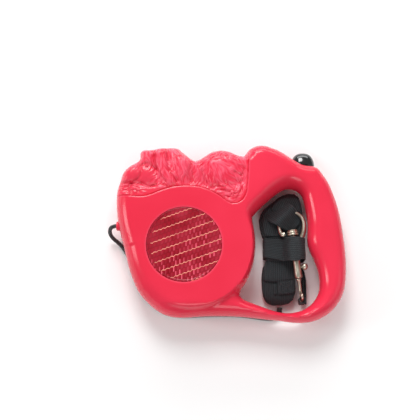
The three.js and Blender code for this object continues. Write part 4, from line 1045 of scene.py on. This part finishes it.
# ------------------------------------------------------------------ strap
def cloth(outline, z_top, thick, direction=90.0, edge=1.0, grid=1.1, wave=0.0, seed=0, corner=1.5, origin=None):
    """A flat-lying piece of strap with rounded edges: outline in mm, z_top(x, y), thickness, and the strap's lengthwise direction in degrees."""
    P = resample(np.vstack([rounded(outline, corner, 4), rounded(outline, corner, 4)[:1]]), 1.0)[:-1]
    if signed_area(P) < 0:
        P = P[::-1]
    pts = [P]
    nrm = np.roll(P, -1, 0) - np.roll(P, 1, 0)
    nrm /= np.linalg.norm(nrm, axis=1)[:, None]
    nrm = np.stack([-nrm[:, 1], nrm[:, 0]], 1)
    for d in (0.15 * edge, 0.45 * edge, edge):
        q = P + d * nrm
        pts.append(q[(seg_distance(q[:, 0], q[:, 1], P) > d * 0.9) & inside(q[:, 0], q[:, 1], P)])
    lo, hi = P.min(0), P.max(0)
    X, Y = np.meshgrid(np.arange(lo[0], hi[0], grid), np.arange(lo[1], hi[1], grid))
    g = np.stack([X.ravel(), Y.ravel()], 1)
    g = g[inside(g[:, 0], g[:, 1], P)]
    pts.append(g[seg_distance(g[:, 0], g[:, 1], P) > edge * 1.3])
    v, f = cdt(np.vstack(pts))
    c = v[f].mean(1)
    f = f[inside(c[:, 0], c[:, 1], P)]
    x, y = v[:, 0], v[:, 1]
    d = seg_distance(x, y, P)
    d[d < 3e-3] = 0
    f = f[(d[f] > 0).any(1)]
    half = thick / 2
    bulge = half * np.sqrt(np.clip(1 - (1 - np.clip(d / edge, 0, 1)) ** 2, 0, 1))
    r = np.random.RandomState(seed)
    wob = sum(np.sin(x * r.uniform(-0.3, 0.3) + y * r.uniform(-0.3, 0.3) + r.uniform(0, 6)) for _ in range(5)) * wave / 3
    mid = z_top(x, y) - half + wob * np.clip(d / 3, 0, 1)
    n = len(v)
    V = np.vstack([np.c_[v, mid + bulge], np.c_[v, mid - bulge]])
    F = f.tolist() + (f[:, ::-1] + n).tolist()
    a = math.radians(direction)
    o = origin or (0, 0)
    along = (x - o[0]) * math.cos(a) + (y - o[1]) * math.sin(a)
    across = -(x - o[0]) * math.sin(a) + (y - o[1]) * math.cos(a)
    uvs = np.tile(np.stack([across, along], 1), (2, 1))
    return V, F, uvs


def joined(name, parts, body, mat, sharp=None, weld=True):
    Vs, Fs, Us, k = [], [], [], 0
    for V, F, U in parts:
        Vs.append(V)
        Us.append(U)
        Fs += [[i + k for i in f] for f in F]
        k += len(V)
    o = mesh_object(name, np.vstack(Vs), Fs, sharp=None, uv=np.vstack(Us))
    if weld:
        bm = bmesh.new()
        bm.from_mesh(o.data)
        bmesh.ops.remove_doubles(bm, verts=bm.verts, dist=2e-6)
        bmesh.ops.recalc_face_normals(bm, faces=bm.faces)
        bm.to_mesh(o.data)
        bm.free()
    o.data.materials.append(mat)
    o.data.polygons.foreach_set("use_smooth", [True] * len(o.data.polygons))
    if sharp:
        o.data.set_sharp_from_angle(angle=math.radians(sharp))
    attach(o, body)
    return o


flat = lambda z: (lambda x, y: np.full(len(x), float(z)))
parts = []
# lower part: the folds lie on each other, each a little out of line
for k, (dl, dr, db) in enumerate([(0.5, -0.2, 0.5), (0.0, 0.1, 0.0), (0.7, -0.5, 0.8), (0.25, 0.0, 0.2)]):
    parts.append(cloth([(28.2 + dl, -20), (28.0 + dl, -22.8), (26.2 + dl, -25.4), (25.3 + dl, -31), (25.1 + dl, -36), (25.4 + dl, -42.5), (26.0 + dl, -48.3 + db), (27.6 + dl, -52.2 + db), (30.2, -54.8 + db), (34.8, -56.1 + db), (41.4, -55.7 + db), (47.2, -54.2 + db), (49.9 + dr, -51.4 + db), (51.3 + dr, -47.4), (52.1 + dr, -42.5), (51.7 + dr, -35.8), (51.1 + dr, -29), (50.9 + dr, -20)], (lambda z: lambda x, y: z - 1.3 * smooth(6, 0, y + 56.5) - 0.6 * smooth(4, 0, x - 25))(3.6 + 1.66 * k), 1.72, 90, 0.9, wave=0.12, seed=k, corner=1.6))
# upper part
for k, z in enumerate((3.6, 5.4, 7.2, 9.0, 10.8, 12.4)):
    o = 0.4 * math.sin(k * 2.1)
    parts.append(cloth([(28.3, -21), (28.3, -3.4), (26.0 + o, -0.4), (24.3 + o, 6.7), (23.9 + o, 12.9), (24.9 + o, 16.8), (27.5 + o, 20.7), (30.9 + o, 23.9), (34.9, 27.1), (38.9, 30.1 - o), (42.8, 32.4 - o), (47.3, 33.9 - o), (52.2, 33.5 - o), (55.3, 31.3), (56.9, 27.3), (58.0, 21.8), (58.4 - o, 15.8), (58.2 - o, 4), (57.8, -0.8), (56.6, -3.2), (56.6, -21)], (lambda z: lambda x, y: z - 1.2 * smooth(5, 0, 34 - y) - 0.9 * smooth(5, 0, x - 24))(z), 1.8, 90 if k < 4 else 118, 0.9, wave=0.1, seed=20 + k, corner=1.6))


# the strand through the snap's jaw: over the jaw's upper left, under its right side
def strand_z(x, y):
    s = ((x - 44.5) * -1 + (y - 11.8)) / math.sqrt(2)  # along, up-left
    q = ((x - 44.5) + (y - 11.8)) / math.sqrt(2)
    over = np.exp(-((s - 2.5) / 6.0) ** 2)
    return 14.4 + 6.4 * over * smooth(-12.0, -4.0, s) - 1.4 * smooth(8, 19, s) + 0.25 * np.cos(q * 0.55)


parts.append(cloth([(40.2, 4.6), (33.4, 8.0), (27.4, 13.6), (27.2, 17.0), (31.4, 21.6), (38.4, 27.2), (44.2, 27.6), (50.8, 21.4), (57.0, 14.2), (55.8, 8.4), (52.0, 4.2), (46.6, 2.6)], strand_z, 1.7, 135, 0.85, grid=0.8, wave=0.08, seed=41, corner=2.0))
# folds lying over the strand's upper end, one over the other
parts.append(cloth([(32.2, 20.2), (36.4, 26.2), (42.0, 30.6), (47.4, 32.8), (52.0, 32.2), (55.4, 29.4), (56.8, 23.0), (56.9, 15.4), (52.8, 19.0), (48.4, 21.0), (43.6, 20.6), (37.6, 18.6)], lambda x, y: 15.7 - 1.8 * smooth(5, 0, 33.5 - y) - 0.8 * smooth(5, 0, 57 - x) + 0.8 * np.exp(-(((x - 47) / 6) ** 2 + ((y - 25) / 4) ** 2)), 2.0, 62, 0.95, grid=0.9, wave=0.16, seed=43, corner=1.8))
parts.append(cloth([(25.6, 6.5), (25.4, 13.0), (27.0, 17.4), (30.6, 21.4), (34.6, 24.6), (38.6, 24.2), (36.0, 18.0), (36.4, 11.6), (39.0, 6.4), (39.4, 1.0), (38.6, -1.4), (28.2, -1.4)], lambda x, y: 13.9 - 1.4 * smooth(5, 0, x - 24) + 0.3 * np.sin(0.5 * (x + y)), 1.5, 100, 0.8, grid=0.9, wave=0.12, seed=47, corner=1.6))
# the strap's edge beside the snap: thicknesses standing on edge
for xo, z1, b in ((0.0, 8.5, 0.0), (1.75, 8.3, 0.5), (3.5, 8.0, 0.15)):
    parts.append(cloth([(55.9 + xo, -55.6 + b), (55.75 + xo, -49.4), (55.9 + xo, -36), (55.0 + 0.86 * xo, -30.4), (53.9 + 0.55 * xo, -23.6), (55.2 + 0.55 * xo, -23.4), (56.6 + 0.9 * xo, -30.0), (57.4 + xo, -36), (57.3 + xo, -49.4), (57.2 + xo, -55.6 + b)], flat(z1), 6.5, 90, 0.5, grid=0.9, corner=0.45, seed=60))
# a flap over the lower part, with the stitched end patch under its edge
parts.append(cloth([(28.6, -19.4), (27.2, -25.5), (26.2, -31.5), (26.4, -37.0), (34.6, -37.8), (51.0, -35.6), (50.8, -29), (50.4, -21.0), (44, -19.4)], lambda x, y: 10.9 - 0.9 * smooth(5, 0, x - 26) - 0.4 * smooth(4, 0, 52 - x) - 0.5 * smooth(3, 0, y + 38), 1.5, 90, 0.75, grid=0.9, wave=0.14, seed=50, corner=1.2))
parts.append(cloth([(37.8, -48.4), (37.4, -36.4), (51.4, -34.6), (51.7, -46.8)], lambda x, y: 10.15 - 0.35 * smooth(4, 0, 52 - x) - 0.2 * smooth(3, 0, x - 37), 1.5, 90, 0.7, grid=0.9, wave=0.05, seed=51, corner=1.0))
parts.append(cloth([(34.4, -48.0), (33.9, -38.8), (36.6, -39.2), (37.0, -48.4)], flat(9.75), 1.3, 90, 0.6, grid=0.8, wave=0.05, seed=52, corner=0.7))
strap = joined("strap", parts, "casing", WEB)
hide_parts("webbing_hank")


def surface(o):
    bm = bmesh.new()
    bm.from_mesh(o.data)
    a = sum(f.calc_area() for f in bm.faces)
    bm.free()
    return a


STRAP_W = 0.025
STRAP_L = round(surface(strap) / 2 / STRAP_W, 3)


# wrap: a turn of the strap around the bundle and the snap's barrel
def wrap():
    sec = [(26.9, 1.2), (26.9, 12.6), (28.2, 13.6), (41.6, 13.9), (43.2, 15.6), (45.3, 20.4), (47.4, 22.5), (50.8, 23.0), (54.8, 22.7), (57.4, 21.0), (59.0, 17.6), (59.1, 13.0), (59.0, 1.4), (57.6, 0.75), (28.2, 0.75)]
    c = resample(np.vstack([rounded(sec, 1.2, 4), rounded(sec, 1.2, 4)[:1]]), 0.9)[:-1]
    if signed_area(c) < 0:
        c = c[::-1]
    tan = np.roll(c, -1, 0) - np.roll(c, 1, 0)
    tan /= np.linalg.norm(tan, axis=1)[:, None]
    out = np.stack([tan[:, 1], -tan[:, 0]], 1)
    s = np.r_[0, np.cumsum(np.linalg.norm(np.diff(c, axis=0), axis=1))]
    half, edge = 0.5, 0.55
    vs = np.array([0, 0.12, 0.4, 1.0] + list(np.linspace(2.0, 17.4, 14)) + [18.4, 19.0, 19.28, 19.4]) / 19.4
    rows = []
    for t in vs:
        dd = min(t, 1 - t) * 19.4
        b = half * math.sqrt(max(0, 1 - (1 - min(1, dd / edge)) ** 2))
        rows.append((t, b))
    V, U, F = [], [], []
    n = len(c)
    for sgn in (1, -1):
        for t, b in rows:
            for i in range(n):
                x, z = c[i]
                # upper edge nearly level, lower edge falling to the right
                y_hi = -3.35 + 0.3 * math.sin(x * 0.3)
                y_lo = -18.8 - 3.9 * smooth(27, 50, x) + 1.6 * smooth(52, 57, x)
                y = y_lo + (y_hi - y_lo) * t
                lift = 0.12 * math.sin(x * 0.55 + y * 0.35)
                p = c[i] + out[i] * (sgn * b + (lift if z > 12 else 0))
                V.append((p[0], y, p[1]))
                U.append((t * 19.4, s[i]))
    m = len(rows)
    for side in range(2):
        for j in range(m - 1):
            for i in range(n):
                i2 = (i + 1) % n
                q = [side * m * n + j * n + i, side * m * n + j * n + i2, side * m * n + (j + 1) * n + i2, side * m * n + (j + 1) * n + i]
                F.append(q if side else q[::-1])
    return np.array(V), F, np.array(U)


band = joined("wrap", [wrap()], "casing", WEB)
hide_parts("wrap_band")
WRAP_L = round(surface(band) / 2 / 0.0194, 3)

# stitching on the patch
THREAD = plain_plastic("stitch_thread", (0.03, 0.03, 0.033), 0.5)
st = []


def stitch_line(a, b, z, length=1.5, gap=0.7):
    a, b = np.array(a, float), np.array(b, float)
    L = np.linalg.norm(b - a)
    u = (b - a) / L
    k = 0.3
    while k + length < L:
        p = [np.r_[a + u * (k + q * length), z + 0.16 * math.sin(math.pi * q)] for q in np.linspace(0, 1, 6)]
        V, F, U = sweep(p, 0.24, 8)
        st.append((V, F, U))
        k += length + gap


for a, b in (((39.0, -47.0), (38.9, -38.9)), ((39.0, -38.9), (50.4, -37.2)), ((50.4, -37.2), (50.6, -45.8)), ((50.6, -45.8), (39.0, -47.0)), ((39.2, -46.8), (50.3, -37.4)), ((39.2, -39.1), (50.4, -45.6))):
    stitch_line(a, b, 10.1)
sts = joined("stitches", st, "casing", THREAD, weld=False)


# ------------------------------------------------------------------ bolt snap
SM = Matrix.Translation(Vector(SNAP) * 0.001) @ Matrix.Rotation(TILT, 4, "Z")


def place(o):
    o.data.transform(SM)
    return o


jaw_pts = [[0.6, -22.5, 0], [2.7, -19.6, 0], [5.0, -17.0, 0], [6.4, -14.5, 0], [7.0, -11.4, 0], [8.5, -8.2, 0], [9.6, -5.0, 0]] + [[10.2 * math.cos(math.radians(a)), 10.2 * math.sin(math.radians(a)), 0] for a in range(-10, 189, 18)] + [[-9.9, -3.6, 0], [-9.2, -6.3, 0], [-8.0, -7.7, 0], [-6.3, -7.3, 0]]
jp = resample(catmull(jaw_pts), 0.35)
s = np.linspace(0, 1, len(jp))
rad = 1.55 + 0.45 * np.exp(-(((s - 0.27) / 0.10) ** 2)) - 0.5 * smooth(0.34, 0.62, s) + 0.75 * smooth(0.84, 0.985, s)
V, F, U = sweep(jp, rad, 24)
jaw = recalc(mesh_object("jaw", V, F, sharp=None))


def yl(name, prof, seg=48):
    V, F = lathe(prof, (0, 0, 0), "y", seg)
    return recalc(mesh_object(name, V, F, sharp=None))


barrel = yl("barrel", [(0, -43.8), (2.2, -43.8), (2.8, -43.5), (3.1, -42.9), (3.1, -38), (3.0, -37.6), (3.0, -23), (3.1, -22.6), (3.1, -19.6), (3.3, -19.1), (3.65, -18.8), (3.65, -17.2), (3.45, -16.8), (3.2, -16.6), (0, -16.6)])
boolean(barrel, [jaw], "UNION")
boolean(barrel, [yl("bore", [(0, -42.8), (2.3, -42.8), (2.3, -15.8), (0, -15.8)])])
boolean(barrel, [yl("neck", [(0, -45), (1.5, -45), (1.5, -42), (0, -42)], 32)])
slot = prism("slot", rounded([(-1.15, -40.6), (1.15, -40.6), (1.15, -33.9), (-1.15, -33.9)], 1.1, 6), 0, 8)
slot.data.transform(Matrix.Rotation(math.pi / 2, 4, "Y"))
boolean(barrel, [slot])
place(barrel)
barrel.name = "snap_hook"
finish_piece(barrel, "casing", METAL, "snap_body", 38)

head = [(0, -36.4), (1.6, -36.4), (1.9, -36.1), (1.9, -33.6), (1.7, -33.3), (1.05, -33.2), (1.05, -17.7), (1.9, -17.5), (1.9, -9.6), (4.0, -9.55), (4.35, -9.35), (4.5, -9.0), (4.5, -8.4), (4.35, -8.1), (3.95, -7.95), (3.95, -7.65), (4.35, -7.5), (4.5, -7.2), (4.5, -6.7), (4.35, -6.4), (3.95, -6.25), (3.95, -5.95), (4.2, -5.8), (4.3, -5.5), (4.1, -5.1), (3.6, -4.85), (0, -4.8)]
bolt = yl("bolt_core", head, 56)
arm = turned("arm", [(0, -0.2), (0.8, -0.2), (0.8, 4.4), (1.2, 4.8), (1.2, 5.6), (0, 5.6)], (0, -35, 0), "x", 28)
ball = turned("ball", [(0, 3.15)] + [(2.7 * math.sin(a), 5.9 - 2.7 * math.cos(a)) for a in np.linspace(0.12, math.pi - 0.12, 20)] + [(0, 8.65)], (0, -35, 0), "x", 40)
boolean(bolt, [arm], "UNION")
boolean(bolt, [ball], "UNION")
place(bolt)
bolt.name = "snap_slide"
finish_piece(bolt, "bolt", METAL, "snap_bolt", 38)

# swivel: collar, shank and eye
eye = yl("shank", [(0, -55.2), (1.25, -55.0), (1.2, -52.0), (1.2, -46.3), (1.45, -45.6), (1.8, -45.2), (1.8, -44.3), (1.6, -44.1), (1.2, -44.1), (1.2, -42.6), (1.9, -42.6), (2.0, -42.4), (2.0, -41.8), (1.8, -41.6), (0, -41.6)], 40)
ring_pts = [[0, -54.4, 0.9], [0, -55.4, 3.0], [0, -57.2, 5.9], [0, -59.1, 6.75], [0, -60.9, 5.6], [0, -61.5, 3.4], [0, -61.55, 0], [0, -61.5, -3.4], [0, -60.9, -5.6], [0, -59.1, -6.75], [0, -57.2, -5.9], [0, -55.4, -3.0], [0, -54.4, -0.9]]
V, F, U = sweep(resample(catmull(ring_pts), 0.5), 0.88, 20, up=(1, 0, 0))
ring = recalc(mesh_object("ring", V, F, sharp=None))
boolean(eye, [ring], "UNION")
place(eye)
eye.name = "snap_eye"
finish_piece(eye, "swivel", METAL, "swivel_eye", 38)


def strap_loop():
    sec = rounded([(-2.2, -63.9), (-2.2, -59.9), (-1.3, -59.35), (1.3, -59.35), (2.2, -59.9), (2.2, -63.9), (1.3, -64.0), (-1.3, -64.0)], 0.7, 4)
    c = resample(np.vstack([sec, sec[:1]]), 0.5)[:-1]
    if signed_area(c) < 0:
        c = c[::-1]
    tan = np.roll(c, -1, 0) - np.roll(c, 1, 0)
    tan /= np.linalg.norm(tan, axis=1)[:, None]
    out = np.stack([tan[:, 1], -tan[:, 0]], 1)
    s = np.r_[0, np.cumsum(np.linalg.norm(np.diff(c, axis=0), axis=1))]
    W = 5.0
    zs = np.array([-W, -W + 0.12, -W + 0.45] + list(np.linspace(-W + 1.2, W - 1.2, 7)) + [W - 0.45, W - 0.12, W])
    V, U, F = [], [], []
    n = len(c)
    for sgn in (1, -1):
        for z in zs:
            dd = W - abs(z)
            b = 0.42 * math.sqrt(max(0, 1 - (1 - min(1, dd / 0.45)) ** 2))
            for i in range(n):
                p = c[i] + out[i] * sgn * b
                V.append((p[0], p[1], z))
                U.append((z, s[i]))
    m = len(zs)
    for side in range(2):
        for j in range(m - 1):
            for i in range(n):
                i2 = (i + 1) % n
                q = [side * m * n + j * n + i, side * m * n + j * n + i2, side * m * n + (j + 1) * n + i2, side * m * n + (j + 1) * n + i]
                F.append(q if side else q[::-1])
    return np.array(V), F, np.array(U)


loop_obj = joined("eye_strap", [strap_loop()], "swivel", WEB)
loop_obj.data.transform(SM)
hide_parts("strap_loop")
max(0.0102, round(surface(loop_obj) / 2 / 0.010, 4))


# ------------------------------------------------------------------ stage and light
def floor():
    me = bpy.data.meshes.new("floor")
    me.from_pydata([(-3, -3, -0.0004), (3, -3, -0.0004), (3, 3, -0.0004), (-3, 3, -0.0004)], [], [(0, 1, 2, 3)])
    m = material("floor_pale", (0.95, 0.948, 0.945), 0.7)
    me.materials.append(m)
    o = link(bpy.data.objects.new("floor", me))


floor()


def area(name, loc, target, size, power, color=(1, 1, 1), shape=None):
    d = bpy.data.lights.new(name, "AREA")
    d.energy, d.color = power, color
    if shape:
        d.shape, d.size, d.size_y = "RECTANGLE", size, shape
    else:
        d.size = size
    o = link(bpy.data.objects.new(name, d))
    o.location = loc
    o.rotation_euler = (Vector(target) - Vector(loc)).to_track_quat("-Z", "Y").to_euler()


area("key", (-0.14, 0.76, 0.86), (0, 0, 0), 0.45, 7.8)
area("fill", (0.85, -0.25, 0.60), (0, 0, 0), 0.7, 1.1)
area("top", (0.05, -0.80, 0.80), (0, 0, 0), 0.6, 3.6)
area("side", (-1.70, 0.08, 0.74), (0, 0, 0.02), 0.42, 9.0, shape=0.9)
area("back", (0.05, 1.05, 0.42), (0, 0, 0.02), 1.3, 6.0, shape=0.35)
world = bpy.data.worlds.new("world")
scene.world = world
world.use_nodes = True
world.node_tree.nodes["Background"].inputs["Color"].default_value = (1, 1, 1, 1)
world.node_tree.nodes["Background"].inputs["Strength"].default_value = 0.30
scene.view_settings.view_transform = "Standard"
